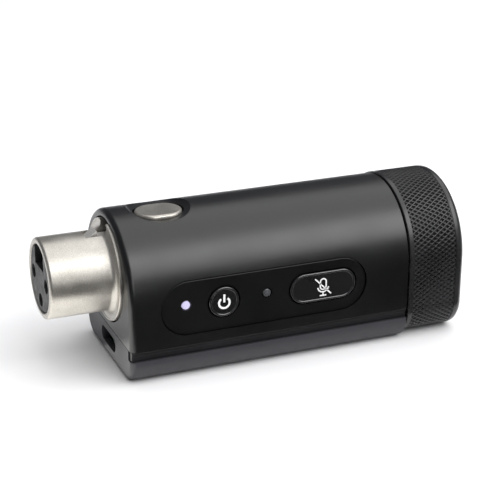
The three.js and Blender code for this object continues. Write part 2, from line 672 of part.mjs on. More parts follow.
function flangeGasket() {
  const start = FLANGE_BACK_X + SEAT_GAP;
  return cut(
    ring(FLANGE_RADIUS, SLEEVE_RADIUS + SEAT_GAP, start, start + GASKET_THICK),
    box(start - 1, start + 1, -LATCH_SLOT_HALF, LATCH_SLOT_HALF, 0, 2 * FLANGE_RADIUS),
  );
}

function connectorBoard() {
  const x = CONNECTOR_BOARD_X;
  const half = CONNECTOR_BOARD_HALF;
  return cut(
    box(x, x + BOARD_THICK, -half, half, -half, CONNECTOR_BOARD_TOP),
    ...contactPlaces.map(([cy, cz]) =>
      rodX(CONTACT_TAIL_RADIUS + SEAT_GAP, x - 1, x + 2, cy, cz, 12),
    ),
  );
}

// ---------------------------------------------------------------- latch
function latchLever() {
  const bottom = ARM_TOP_Z - ARM_THICK;
  const padTop = RELEASE_FOOT_Z - FIT_GAP;
  const padHalf = RELEASE_LENGTH / 4;
  const heelTop = NOSE_RADIUS - HEEL_SINK;
  const heelEnd = FACE_X + HEEL_BEHIND;
  const profile = outline([
    [TOOTH_X, bottom],
    [PIVOT_X + LEVER_TAIL, bottom],
    [PIVOT_X + LEVER_TAIL, ARM_TOP_Z],
    [RELEASE_X + padHalf + 1, ARM_TOP_Z],
    [RELEASE_X + padHalf, padTop],
    [RELEASE_X - padHalf, padTop],
    [RELEASE_X - padHalf - 1, ARM_TOP_Z],
    [heelEnd + ARM_SINK - HEEL_SINK, ARM_TOP_Z],
    [heelEnd, heelTop],
    [RIDGE_X + RIDGE_SLOPE, heelTop],
    [RIDGE_X, RIDGE_Z],
    [TOOTH_X, TOOTH_FRONT_Z],
  ]);
  return cut(
    join(
      alongY(profile, -LATCH_HALF, LATCH_HALF),
      rodY(HUB_RADIUS, -LATCH_HALF, LATCH_HALF, PIVOT_X, ARM_MIDDLE_Z),
    ),
    rodY(PIN_RADIUS + RUN_GAP, -BODY_RADIUS, BODY_RADIUS, PIVOT_X, ARM_MIDDLE_Z),
  );
}

class Helix extends THREE.Curve {
  getPoint(t) {
    const angle = 2 * Math.PI * SPRING_TURNS * t;
    const low = ARM_TOP_Z + SPRING_WIRE + SEAT_GAP;
    const high = ROOF_Z - WALL - SPRING_WIRE - 2 * SEAT_GAP;
    return new THREE.Vector3(
      PIVOT_X + SPRING_ARM + SPRING_RADIUS * Math.cos(angle),
      SPRING_RADIUS * Math.sin(angle),
      low + (high - low) * t,
    );
  }
}

function latchSpring() {
  const wire = new THREE.Shape().absarc(0, 0, SPRING_WIRE, 0, 2 * Math.PI, false);
  return solidOf(new THREE.ExtrudeGeometry(wire, {
    steps: 12 * SPRING_TURNS,
    extrudePath: new Helix(),
    curveSegments: 3,
  }));
}

function releaseButton() {
  const pill = stadium(RELEASE_LENGTH, RELEASE_WIDTH, RELEASE_X, 0);
  const flange = stadium(
    RELEASE_LENGTH + 2 * RELEASE_LIP, RELEASE_WIDTH + 2 * RELEASE_LIP, RELEASE_X, 0,
  );
  const rounded = alongZ(pill, RELEASE_FOOT_Z - 1, RELEASE_TOP_Z, RELEASE_ROUND, 8);
  const trimmed = cut(rounded, box(0, END_X, -BODY_RADIUS, BODY_RADIUS, 0,
    RELEASE_FOOT_Z + RELEASE_FLANGE / 2));
  return join(trimmed, alongZ(flange, RELEASE_FOOT_Z, WELL_TOP_OF_FLANGE_Z));
}

// ---------------------------------------------------------------- control panel
const ledPlaces = { status: PANEL_X + STATUS_LED_OFFSET, mute: PANEL_X + MUTE_LED_OFFSET };

function controlPanel() {
  const plate = stadium(PANEL_LENGTH, PANEL_HEIGHT, PANEL_X, PANEL_Z);
  const mute = stadium(
    MUTE_LENGTH + 2 * BUTTON_GAP, MUTE_HEIGHT + 2 * BUTTON_GAP, MUTE_X, BUTTON_Z,
  );
  return cut(
    alongY(plate, PANEL_FACE_Y, PANEL_BACK_Y, 0, 8),
    alongY(mute, -BODY_RADIUS, 0),
    rodY(POWER_RADIUS + BUTTON_GAP, -BODY_RADIUS, 0, POWER_X, BUTTON_Z, 32),
    ...Object.values(ledPlaces).map((x) =>
      rodY(LIGHT_PIPE_RADIUS + SEAT_GAP, -BODY_RADIUS, 0, x, LED_Z, 16),
    ),
  );
}

function pushButton(face, flange, x) {
  const front = PANEL_FACE_Y - BUTTON_PROUD;
  const back = BUTTON_FLANGE_Y + BUTTON_FLANGE;
  return join(
    alongY(face, front, back, BUTTON_ROUND),
    alongY(flange, BUTTON_FLANGE_Y, back),
    rodY(PLUNGER_RADIUS, back - BUTTON_FLANGE / 6, STEM_END_Y, x, BUTTON_Z, 12),
  );
}

function disc(radius, x, y) {
  return new THREE.Shape().absarc(x, y, radius, 0, 2 * Math.PI, false);
}

function tactSwitch(x) {
  const seat = CONTROL_BOARD_Y - SEAT_GAP;
  const half = SWITCH_SIDE / 2;
  return join(
    box(x - half, x + half, seat - SWITCH_HEIGHT, seat, BUTTON_Z - half, BUTTON_Z + half),
    rodY(PLUNGER_RADIUS, SWITCH_TOP_Y, seat - SWITCH_HEIGHT / 2, x, BUTTON_Z, 16),
  );
}

function ledChip(x) {
  const seat = CONTROL_BOARD_Y - SEAT_GAP;
  return box(x - LED_HALF, x + LED_HALF, seat - LED_HEIGHT, seat, LED_Z - LED_HALF, LED_Z + LED_HALF);
}

function lightPipe(x) {
  const end = CONTROL_BOARD_Y - LED_HEIGHT - 2 * SEAT_GAP;
  const lip = LIGHT_PIPE_RADIUS + LIGHT_PIPE_LIP;
  return join(
    rodY(LIGHT_PIPE_RADIUS, PANEL_FACE_Y - LIGHT_PIPE_PROUD, end, x, LED_Z, 16),
    rodY(lip, BUTTON_FLANGE_Y, BUTTON_FLANGE_Y + BUTTON_FLANGE, x, LED_Z, 16),
  );
}

function controlBoard() {
  const face = CONTROL_BOARD_Y;
  const top = standoffPlaces[0][1] + STANDOFF_RADIUS;
  const half = WINDOW_LENGTH / 2 - CONTROL_BOARD_END_GAP;
  const low = PANEL_Z - CONTROL_BOARD_DROP;
  return cut(
    box(PANEL_X - half, PANEL_X + half, face, face + BOARD_THICK, low, top),
    ...standoffPlaces.map(([x, z]) => rodY(BOARD_SCREW_HOLE, face - 1, face + 2, x, z, 12)),
  );
}

function boardScrew([x, z]) {
  const seat = CONTROL_BOARD_Y + BOARD_THICK + SEAT_GAP;
  return join(
    rodY(BOARD_SCREW_HEAD_RADIUS, seat, seat + BOARD_SCREW_HEAD_HEIGHT, x, z, 20),
    rodY(BOARD_SCREW_RADIUS, FRAME_Y + BOARD_SCREW_END_GAP, seat + BOARD_SCREW_HEAD_HEIGHT / 2, x, z, 12),
  );
}

// ---------------------------------------------------------------- boards, cell and port
const LINK_X0 = FACE_X + LINK_OFFSET;
const LINK_X1 = LINK_X0 + LINK_LENGTH;
const BOARD_X0 = CONNECTOR_BOARD_X + BOARD_FRONT_GAP;
const BOARD_X1 = SCREW_REAR_X - POST_RADIUS - BOARD_POST_GAP;
const BOARD_HALF = BODY_RADIUS - WALL - BOARD_SIDE_GAP;
const PLUG_X = CONNECTOR_BOARD_X + PLUG_OFFSET;

function screwPads() {
  const y = BOARD_HALF - PAD_INSET;
  return [BOARD_X0 + PAD_INSET, BOARD_X1 - PAD_INSET].flatMap((x) => [[x, -y], [x, y]]);
}

function rfShield() {
  const low = MAIN_BOARD_TOP_Z + SEAT_GAP;
  const high = low + PART_HEIGHT;
  const x1 = BOARD_X1 - SHIELD_WALL - SHIELD_END_GAP;
  const x0 = x1 - SHIELD_LENGTH;
  const wall = SHIELD_WALL;
  return cut(
    box(x0, x1, -SHIELD_HALF, SHIELD_HALF, low, high),
    box(x0 + wall, x1 - wall, wall - SHIELD_HALF, SHIELD_HALF - wall, low - 1, high - wall),
  );
}

function batteryHolder() {
  const x0 = CELL_X - HOLDER_THICK - SEAT_GAP;
  const x1 = CELL_X + CELL_LENGTH + HOLDER_THICK + SEAT_GAP;
  const y0 = CELL_Y - CELL_WIDTH / 2 - HOLDER_THICK - SEAT_GAP;
  const y1 = CELL_Y + CELL_WIDTH / 2 + HOLDER_THICK + SEAT_GAP;
  const foot = MAIN_BOARD_TOP_Z + SEAT_GAP;
  const cell = box(
    x0 + HOLDER_THICK, x1 - HOLDER_THICK, y0 + HOLDER_THICK, y1 - HOLDER_THICK,
    HOLDER_Z + HOLDER_THICK, HOLDER_Z + 2 * HOLDER_RIM,
  );
  const legs = [x0, x1 - HOLDER_LEG].flatMap((x) => [y0, y1 - HOLDER_LEG].map((y) =>
    box(x, x + HOLDER_LEG, y, y + HOLDER_LEG, foot, HOLDER_Z + HOLDER_THICK / 4),
  ));
  return join(cut(box(x0, x1, y0, y1, HOLDER_Z, HOLDER_Z + HOLDER_RIM), cell), ...legs);
}

function usbShell() {
  const inner = stadium(
    USB_WIDTH - 2 * USB_SHELL_WALL, USB_HEIGHT - 2 * USB_SHELL_WALL, 0, USB_Z,
  );
  return cut(
    alongX(stadium(USB_WIDTH, USB_HEIGHT, 0, USB_Z), PORT_X, PORT_X + USB_DEPTH),
    alongX(inner, 0, PORT_X + USB_DEPTH - USB_BACK_WALL),
  );
}

function baseScrew([x, y]) {
  const seat = BOTTOM_Z + SEAT_GAP;
  return join(
    rodZ(SCREW_HEAD_RADIUS, seat, seat + SCREW_HEAD_HEIGHT, x, y, 20),
    rodZ(SCREW_RADIUS, seat + SCREW_HEAD_HEIGHT / 2, POST_TOP_Z - WALL, x, y, 12),
  );
}

// ---------------------------------------------------------------- assembly
const DARK = 0x303033;
const SILVER = 0xc8c3b8;
const GREEN = 0x1f5a3a;

piece("upper_housing", upperHousing(), DARK, 0.45, 0.2);
piece("base_cover", baseCover(), 0x45454b, 0.5, 0.2);
piece("chassis_tray", chassisTray(), 0x18181a, 0.6, 0);
piece("end_cap", endCap(), 0x1c1c1e, 0.35, 0.1);

piece("xlr_barrel", xlrBarrel(), SILVER, 0.32, 1);
piece("xlr_insert", xlrInsert(), 0x2a2a2c, 0.6, 0);
contactPlaces.forEach((place, i) =>
  piece("xlr_contact_" + (i + 1), xlrContact(place), 0xb9a26a, 0.35, 1),
);
piece("flange_gasket", flangeGasket(), 0x111111, 0.8, 0);
piece(
  "ground_washer",
  ring(NUT_RADIUS - WASHER_INSET, SLEEVE_RADIUS + SEAT_GAP, WALL_BACK_X + SEAT_GAP,
    WALL_BACK_X + SEAT_GAP + WASHER_THICK),
  0xb0b0b0, 0.4, 1,
);
piece(
  "barrel_nut",
  ring(NUT_RADIUS, SLEEVE_RADIUS + SEAT_GAP, WALL_BACK_X + WASHER_THICK + 2 * SEAT_GAP,
    WALL_BACK_X + WASHER_THICK + 2 * SEAT_GAP + NUT_THICK, NUT_SIDES),
  0xb0b0b0, 0.4, 1,
);
piece("connector_board", connectorBoard(), GREEN, 0.5, 0);

piece("latch_lever", latchLever(), 0xcfcac0, 0.3, 1);
piece(
  "latch_pin",
  rodY(PIN_RADIUS, -LATCH_HALF - FIT_GAP - EAR_THICK, LATCH_HALF + FIT_GAP + EAR_THICK,
    PIVOT_X, ARM_MIDDLE_Z),
  0xb0b0b0, 0.3, 1,
);
piece("latch_spring", latchSpring(), 0xb0b0b0, 0.3, 1);
piece("release_button", releaseButton(), SILVER, 0.35, 1);

piece("control_panel", controlPanel(), 0x1a1a1b, 0.6, 0);
piece(
  "power_button",
  pushButton(disc(POWER_RADIUS, POWER_X, BUTTON_Z), disc(POWER_RADIUS + BUTTON_LIP, POWER_X,
    BUTTON_Z), POWER_X),
  0x151516, 0.5, 0,
);
piece(
  "mute_button",
  pushButton(
    stadium(MUTE_LENGTH, MUTE_HEIGHT, MUTE_X, BUTTON_Z),
    stadium(MUTE_LENGTH + 2 * BUTTON_LIP, MUTE_HEIGHT + 2 * BUTTON_LIP, MUTE_X, BUTTON_Z),
    MUTE_X,
  ),
  0x151516, 0.5, 0,
);
for (const [name, x] of Object.entries(ledPlaces)) {
  piece(name + "_light_pipe", lightPipe(x), 0xe8e4f4, 0.3, 0);
  piece(name + "_led", ledChip(x), 0xf0e8c0, 0.5, 0);
}
piece("power_switch", tactSwitch(POWER_X), 0x8a8a8a, 0.4, 0.8);
piece("mute_switch", tactSwitch(MUTE_X), 0x8a8a8a, 0.4, 0.8);
piece("control_board", controlBoard(), GREEN, 0.5, 0);
standoffPlaces.forEach((place, i) =>
  piece("control_board_screw_" + (i + 1), boardScrew(place), 0xb0b0b0, 0.3, 1),
);

piece(
  "main_board",
  box(BOARD_X0, BOARD_X1, -BOARD_HALF, BOARD_HALF, MAIN_BOARD_Z, MAIN_BOARD_TOP_Z),
  GREEN, 0.5, 0,
);
piece("rf_shield", rfShield(), 0xb8b8b8, 0.35, 1);
piece("battery_holder", batteryHolder(), 0x222224, 0.6, 0);
piece(
  "battery",
  alongX(
    stadium(CELL_WIDTH, CELL_HEIGHT, CELL_Y, CELL_Z + CELL_HEIGHT / 2),
    CELL_X, CELL_X + CELL_LENGTH,
  ),
  0x9aa4b4, 0.4, 0.6,
);
piece(
  "battery_connector",
  box(PLUG_X, PLUG_X + PLUG_LENGTH, PLUG_Y - PLUG_WIDTH / 2, PLUG_Y + PLUG_WIDTH / 2,
    MAIN_BOARD_TOP_Z + SEAT_GAP, MAIN_BOARD_TOP_Z + SEAT_GAP + PART_HEIGHT),
  0xe4e0d4, 0.6, 0,
);
piece(
  "antenna_board",
  box(BOARD_X1 + FIT_GAP, END_X - CAP_END_WALL - FIT_GAP, -ANTENNA_HALF, ANTENNA_HALF,
    ANTENNA_Z, ANTENNA_Z + BOARD_THICK),
  GREEN, 0.5, 0,
);

piece("usb_shell", usbShell(), 0xb8b8b8, 0.35, 1);
piece(
  "usb_tongue",
  box(PORT_X + TONGUE_SETBACK, PORT_X + USB_DEPTH - USB_BACK_WALL - SEAT_GAP, -TONGUE_HALF_WIDTH,
    TONGUE_HALF_WIDTH, USB_Z - TONGUE_HALF_THICK, USB_Z + TONGUE_HALF_THICK),
  0x161616, 0.5, 0,
);
piece(
  "usb_board",
  box(PORT_X, LINK_X1 + PORT_BOARD_TAIL, -PORT_BOARD_HALF, PORT_BOARD_HALF,
    PORT_BOARD_TOP_Z - PORT_BOARD_THICK, PORT_BOARD_TOP_Z),
  GREEN, 0.5, 0,
);
piece(
  "board_connector",
  box(LINK_X0, LINK_X1, -LINK_HALF, LINK_HALF, PORT_BOARD_TOP_Z + SEAT_GAP,
    MAIN_BOARD_Z - SEAT_GAP),
  0x222222, 0.6, 0,
);
screwPlaces.forEach((place, i) =>
  piece("base_screw_" + (i + 1), baseScrew(place), 0x2c2c2e, 0.35, 1),
);

export default transmitter;
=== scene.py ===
import math

import bmesh
import bpy
from mathutils import Matrix, Vector


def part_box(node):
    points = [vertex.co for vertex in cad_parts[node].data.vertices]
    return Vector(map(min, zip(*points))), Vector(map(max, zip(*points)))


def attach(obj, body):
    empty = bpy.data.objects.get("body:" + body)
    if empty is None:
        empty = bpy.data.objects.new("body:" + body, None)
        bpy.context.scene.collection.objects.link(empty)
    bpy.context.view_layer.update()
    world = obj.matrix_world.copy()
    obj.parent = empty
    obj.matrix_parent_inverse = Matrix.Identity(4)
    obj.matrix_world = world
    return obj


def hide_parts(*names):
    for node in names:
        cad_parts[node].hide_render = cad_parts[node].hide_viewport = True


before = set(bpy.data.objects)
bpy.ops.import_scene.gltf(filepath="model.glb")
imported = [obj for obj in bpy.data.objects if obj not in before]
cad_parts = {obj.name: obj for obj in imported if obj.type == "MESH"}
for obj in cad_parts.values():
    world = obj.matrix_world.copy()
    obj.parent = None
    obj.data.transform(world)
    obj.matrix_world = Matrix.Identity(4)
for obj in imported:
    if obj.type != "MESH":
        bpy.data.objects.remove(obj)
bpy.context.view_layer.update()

# ---------------------------------------------------------------- the view
# The camera stands a little above the object, in front of its control panel and nearer to its
# socket end. The object lies on a pale floor under a broad front softbox and an overhead one. A
# small softbox and a glowing card light the nose, and the fill whitens the floor.
CAMERA_AT = Vector((-0.106545, -0.261963, 0.133025))
CAMERA_TARGET = Vector((0.001209, 0.0, 0.018338))
CAMERA_ROLL = math.radians(0.422)
CAMERA_LENS = 109.98

back = (CAMERA_AT - CAMERA_TARGET).normalized()
level = Vector((0, 0, 1)).cross(back).normalized()
upright = back.cross(level)
across = level * math.cos(CAMERA_ROLL) + upright * math.sin(CAMERA_ROLL)
above = upright * math.cos(CAMERA_ROLL) - level * math.sin(CAMERA_ROLL)
lens = bpy.data.cameras.new("camera")
lens.lens = CAMERA_LENS
camera = bpy.data.objects.new("camera", lens)
camera.matrix_world = Matrix.Translation(CAMERA_AT) @ Matrix((across, above, back)).transposed().to_4x4()
bpy.context.scene.collection.objects.link(camera)
bpy.context.scene.camera = camera
bpy.context.scene.view_settings.view_transform = "Standard"


def softbox(name, at, target, width, depth, power):
    lamp = bpy.data.lights.new(name, "AREA")
    lamp.shape = "RECTANGLE"
    lamp.size = width
    lamp.size_y = depth
    lamp.energy = power
    holder = bpy.data.objects.new(name, lamp)
    aim = Vector(target) - Vector(at)
    holder.matrix_world = Matrix.Translation(at) @ aim.to_track_quat("-Z", "Y").to_matrix().to_4x4()
    bpy.context.scene.collection.objects.link(holder)
    return holder


softbox("front_box", (0.33, -0.50, 0.52), (0.0, 0.0, 0.015), 1.05, 0.49, 3.8)
softbox("overhead_box", (0.20, -0.05, 0.55), (0.0, 0.0, 0.0), 1.1, 0.75, 3.6)
softbox("nose_box", (-0.030, -0.042, 0.028), (-0.036, -0.008, 0.019), 0.018, 0.016, 0.0010)
fill = softbox("fill_box", (0.0, 0.0, 0.9), (0.0, 0.0, 0.0), 1.6, 1.6, 8.4)
fill.visible_glossy = False

# The room around is dim, except where the camera looks straight at it.
world = bpy.data.worlds.new("studio")
world.use_nodes = True
sky = world.node_tree.nodes["Background"]
sky.inputs["Color"].default_value = (0.9, 0.92, 1.0, 1.0)
seen = world.node_tree.nodes.new("ShaderNodeLightPath")
haze = world.node_tree.nodes.new("ShaderNodeMapRange")
haze.inputs["To Min"].default_value = 0.12
haze.inputs["To Max"].default_value = 0.9
world.node_tree.links.new(seen.outputs["Is Camera Ray"], haze.inputs["Value"])
world.node_tree.links.new(haze.outputs["Result"], sky.inputs["Strength"])
bpy.context.scene.world = world


def plain_surface(name, color, roughness):
    material = bpy.data.materials.new(name)
    material.use_nodes = True
    shader = material.node_tree.nodes["Principled BSDF"]
    shader.inputs["Base Color"].default_value = (*color, 1.0)
    shader.inputs["Roughness"].default_value = roughness
    return material


def stage_sheet(name, x0, x1, y0, y1, z, material):
    mesh = bpy.data.meshes.new(name)
    mesh.from_pydata([(x0, y0, z), (x1, y0, z), (x1, y1, z), (x0, y1, z)], [], [(0, 1, 2, 3)])
    mesh.materials.append(material)
    sheet = bpy.data.objects.new(name, mesh)
    bpy.context.scene.collection.objects.link(sheet)
    return sheet


stage_sheet("floor", -8, 8, -8, 8, 0.0, plain_surface("floor_paper", (0.86, 0.86, 0.865), 0.9))


def reflector(name, x0, x1, y0, y1, z, color, glow=0.0):
    """A card that lies on the floor and that only reflections see. Its glow is an emission."""
    material = plain_surface(name, color, 1.0)
    shader = material.node_tree.nodes["Principled BSDF"]
    shader.inputs["Emission Color"].default_value = (*color, 1.0)
    shader.inputs["Emission Strength"].default_value = glow
    card = stage_sheet(name, x0, x1, y0, y1, z, material)
    card.visible_camera = False
    card.visible_diffuse = False
    card.visible_shadow = False


reflector("dark_card", -0.8, 0.8, -1.2, -0.020, 0.0004, (0.01, 0.01, 0.01))
reflector("nose_card", -0.075, -0.029, -0.027, 0.004, 0.0006, (0.85, 0.84, 0.82), 1.1)

# ---------------------------------------------------------------- base cover
# The base is a moulded lower shell in fine matte plastic, lighter than the housing. Its end
# panel rises in front of the tray and holds the charging port; four screws hold it from below.
MM = 0.001
housing_low, housing_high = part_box("upper_housing")
base_low, base_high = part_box("base_cover")
tray_low, tray_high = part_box("chassis_tray")
barrel_low, barrel_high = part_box("xlr_barrel")
BODY_RADIUS = housing_high.y
ARC_Z = housing_high.z - BODY_RADIUS
BODY_DROP = ARC_Z - base_low.z
BODY_CORNER = 4.4 * MM
FACE_X = housing_low.x
REAR_X = housing_high.x
EDGE_ROUND = 1.2 * MM
BASE_WALL = 1.4 * MM
BASE_PANEL_HALF = BODY_RADIUS - 1.84 * MM
SEAM_GAP = 0.15 * MM
FIT_GAP = 0.3 * MM
FLANGE_RADIUS = barrel_high.y
AXIS_Z = barrel_low.z + FLANGE_RADIUS
POCKET_X = FACE_X + 1.95 * MM
PORT_Z = 3.95 * MM
PORT_WIDTH = 8.9 * MM
PORT_HEIGHT = 3.1 * MM
SCREW_HEAD_RADIUS = 1.8 * MM
COUNTERBORE_RADIUS = SCREW_HEAD_RADIUS + 0.2 * MM
COUNTERBORE = 1.3 * MM
FAR = 0.1


def arch_outline(radius, drop, corner, roof_steps=128, corner_steps=14):
    """The body's section as (y, z, normal y, normal z): half circle, two sides, two corners."""
    low = ARC_Z - drop + corner
    side = radius - corner
    arcs = (
        (0.0, ARC_Z, radius, 0, 180, roof_steps),
        (-side, low, corner, 180, 270, corner_steps),
        (side, low, corner, 270, 360, corner_steps),
    )
    outline = []
    for y, z, r, start, end, steps in arcs:
        for i in range(steps + 1):
            angle = math.radians(start + (end - start) * i / steps)
            cosine, sine = math.cos(angle), math.sin(angle)
            outline.append((y + r * cosine, z + r * sine, cosine, sine))
    return outline


def stadium_outline(length, height, u, v, steps=32):
    half = (length - height) / 2
    outline = []
    for centre, start in ((u + half, -90), (u - half, 90)):
        for i in range(steps + 1):
            angle = math.radians(start + 180 * i / steps)
            cosine, sine = math.cos(angle), math.sin(angle)
            outline.append((centre + height / 2 * cosine, v + height / 2 * sine, cosine, sine))
    return outline


def disc_outline(radius, u, v, steps=96):
    angles = [2 * math.pi * i / steps for i in range(steps)]
    return [(u + radius * math.cos(a), v + radius * math.sin(a), math.cos(a), math.sin(a)) for a in angles]


def bend(level_at, inset_at, radius, start, end, steps=8):
    """A round stretch of a profile of (level, inset) points, between two angles in degrees."""
    angles = [math.radians(start + (end - start) * i / steps) for i in range(steps + 1)]
    return [(level_at + radius * math.cos(a), inset_at + radius * math.sin(a)) for a in angles]


def solid(name, vertices, faces):
    mesh = bpy.data.meshes.new(name)
    mesh.from_pydata(vertices, [], faces)
    work = bmesh.new()
    work.from_mesh(mesh)
    bmesh.ops.recalc_face_normals(work, faces=work.faces)
    work.to_mesh(mesh)
    work.free()
    piece = bpy.data.objects.new(name, mesh)
    bpy.context.scene.collection.objects.link(piece)
    return piece


def loft(name, outline, profile, axis, looped=False):
    """A solid through copies of an outline, each at a (level, inset) of the profile along an axis."""
    vertices = []
    for at, inset in profile:
        for u, v, nu, nv in outline:
            point = [u - nu * inset, v - nv * inset]
            point.insert("xyz".index(axis), at)
            vertices.append(point)
    count = len(outline)
    rows = len(profile)
    faces = []
    for row in range(rows if looped else rows - 1):
        low, high = row * count, (row + 1) % rows * count
        faces += [(low + i, low + (i + 1) % count, high + (i + 1) % count, high + i) for i in range(count)]
    if not looped:
        faces += [tuple(range(count)), tuple(range((rows - 1) * count, rows * count))]
    return solid(name, vertices, faces)


def block(x0, x1, y0, y1, z0, z1):
    corners = [(x, y, z) for x in (x0, x1) for y in (y0, y1) for z in (z0, z1)]
    sides = [(0, 1, 3, 2), (4, 6, 7, 5), (0, 4, 5, 1), (2, 3, 7, 6), (0, 2, 6, 4), (1, 5, 7, 3)]
    return solid("cutter", corners, sides)


def settle(piece):
    """Applies the piece's modifiers."""
    shaped = piece.evaluated_get(bpy.context.evaluated_depsgraph_get())
    mesh = bpy.data.meshes.new_from_object(shaped)
    piece.modifiers.clear()
    piece.data = mesh


def carve(piece, *cutters):
    for cutter in cutters:
        modifier = piece.modifiers.new("carve", "BOOLEAN")
        modifier.operation = "DIFFERENCE"
        modifier.solver = "EXACT"
        modifier.object = cutter
    settle(piece)
    for cutter in cutters:
        bpy.data.objects.remove(cutter)


def soften(piece, width, segments=2, angle=32):
    """Breaks the sharp edges and shades the rest smooth."""
    if width:
        modifier = piece.modifiers.new("edges", "BEVEL")
        modifier.width = width
        modifier.segments = segments
        modifier.limit_method = "ANGLE"
        modifier.angle_limit = math.radians(angle)
        modifier.use_clamp_overlap = True
        settle(piece)
    for face in piece.data.polygons:
        face.use_smooth = True
    piece.data.set_sharp_from_angle(angle=math.radians(angle))
    modifier = piece.modifiers.new("normals", "WEIGHTED_NORMAL")
    modifier.keep_sharp = True
    settle(piece)


def round_edges(piece, width, chosen):
    """Rounds the edges whose two ends the chosen test accepts."""
    work = bmesh.new()
    work.from_mesh(piece.data)
    edges = [edge for edge in work.edges if all(chosen(end.co) for end in edge.verts)]
    bmesh.ops.bevel(
        work, geom=edges, offset=width, segments=4, profile=0.5, affect="EDGES", clamp_overlap=True,
    )
    work.to_mesh(piece.data)
    work.free()


def install(piece, body, slot, material, *replaced):
    piece.data.materials.clear()
    piece.data.materials.append(material)
    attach(piece, body)
    if replaced:
        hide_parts(*replaced)


def effect_group(name, inputs, outputs):
    """A node group with its sockets, and its input and output nodes."""
    group = bpy.data.node_groups.new(name, "ShaderNodeTree")
    for label, kind, value in inputs:
        socket = group.interface.new_socket(label, in_out="INPUT", socket_type="NodeSocket" + kind)
        socket.default_value = value
    for label, kind in outputs:
        group.interface.new_socket(label, in_out="OUTPUT", socket_type="NodeSocket" + kind)
    return group, group.nodes.new("NodeGroupInput"), group.nodes.new("NodeGroupOutput")


def noise(tree, scale, detail, roughness):
    """Cloud noise over the object's own coordinates. The scale is a number or an output socket."""
    place = tree.nodes.new("ShaderNodeTexCoord")
    cloud = tree.nodes.new("ShaderNodeTexNoise")
    tree.links.new(place.outputs["Object"], cloud.inputs["Vector"])
    cloud.inputs["Detail"].default_value = detail
    cloud.inputs["Roughness"].default_value = roughness
    if isinstance(scale, bpy.types.NodeSocket):
        tree.links.new(scale, cloud.inputs["Scale"])
    else:
        cloud.inputs["Scale"].default_value = scale
    return cloud.outputs["Fac"]


def spread(tree, value, low, high, from_low=0.35, from_high=0.65):
    """The value stretched from its usual span onto low to high, which are numbers or sockets."""
    node = tree.nodes.new("ShaderNodeMapRange")
    node.inputs["From Min"].default_value = from_low
    node.inputs["From Max"].default_value = from_high
    tree.links.new(value, node.inputs["Value"])
    for limit, label in ((low, "To Min"), (high, "To Max")):
        if isinstance(limit, bpy.types.NodeSocket):
            tree.links.new(limit, node.inputs[label])
        else:
            node.inputs[label].default_value = limit
    return node.outputs["Result"]


def blend_colors(tree, factor, first, second):
    node = tree.nodes.new("ShaderNodeMix")
    node.data_type = "RGBA"
    tree.links.new(factor, node.inputs["Factor"])
    tree.links.new(first, node.inputs["A"])
    tree.links.new(second, node.inputs["B"])
    return node.outputs["Result"]


def skin_group():
    """Grain, faint cloudiness and uneven gloss, as moulded, coated and plated surfaces have."""
    inputs = (
        ("Dark", "Color", (0.02, 0.02, 0.02, 1)), ("Light", "Color", (0.03, 0.03, 0.03, 1)),
        ("Grain Scale", "Float", 3000), ("Cloud Scale", "Float", 90),
        ("Gloss Low", "Float", 0.4), ("Gloss High", "Float", 0.5),
    )
    outputs = (("Color", "Color"), ("Roughness", "Float"), ("Height", "Float"))
    group, given, result = effect_group("surface_skin", inputs, outputs)
    grain = noise(group, given.outputs["Grain Scale"], 3, 0.6)
    cloud = noise(group, given.outputs["Cloud Scale"], 4, 0.55)
    mixed = group.nodes.new("ShaderNodeMath")
    mixed.operation = "MULTIPLY_ADD"
    mixed.inputs[1].default_value = 0.55
    group.links.new(grain, mixed.inputs[0])
    lifted = group.nodes.new("ShaderNodeMath")
    lifted.operation = "MULTIPLY"
    lifted.inputs[1].default_value = 0.45
    group.links.new(cloud, lifted.inputs[0])
    group.links.new(lifted.outputs[0], mixed.inputs[2])
    factor = spread(group, mixed.outputs[0], 0, 1)
    color = blend_colors(group, factor, given.outputs["Dark"], given.outputs["Light"])
    gloss = spread(group, cloud, given.outputs["Gloss Low"], given.outputs["Gloss High"])
    group.links.new(color, result.inputs["Color"])
    group.links.new(gloss, result.inputs["Roughness"])
    group.links.new(grain, result.inputs["Height"])
    return group


surface_skin = skin_group()


def skinned(name, dark, light, grain, cloud, gloss, bump, metallic=0.0, specular=0.5, coat=0.0):
    """A material that wears the skin group. Grain and cloud are sizes; bump is a depth."""
    material = bpy.data.materials.new(name)
    material.use_nodes = True
    tree = material.node_tree
    shader = tree.nodes["Principled BSDF"]
    skin = tree.nodes.new("ShaderNodeGroup")
    skin.node_tree = surface_skin
    skin.inputs["Dark"].default_value = (*dark, 1)
    skin.inputs["Light"].default_value = (*light, 1)
    skin.inputs["Grain Scale"].default_value = 1 / grain
    skin.inputs["Cloud Scale"].default_value = 1 / cloud
    skin.inputs["Gloss Low"].default_value = gloss[0]
    skin.inputs["Gloss High"].default_value = gloss[1]
    relief = tree.nodes.new("ShaderNodeBump")
    relief.inputs["Strength"].default_value = 1.0
    relief.inputs["Distance"].default_value = bump
    tree.links.new(skin.outputs["Height"], relief.inputs["Height"])
    tree.links.new(relief.outputs["Normal"], shader.inputs["Normal"])
    tree.links.new(skin.outputs["Color"], shader.inputs["Base Color"])
    tree.links.new(skin.outputs["Roughness"], shader.inputs["Roughness"])
    shader.inputs["Metallic"].default_value = metallic
    shader.inputs["Specular IOR Level"].default_value = specular
    shader.inputs["Coat Weight"].default_value = coat
    return material


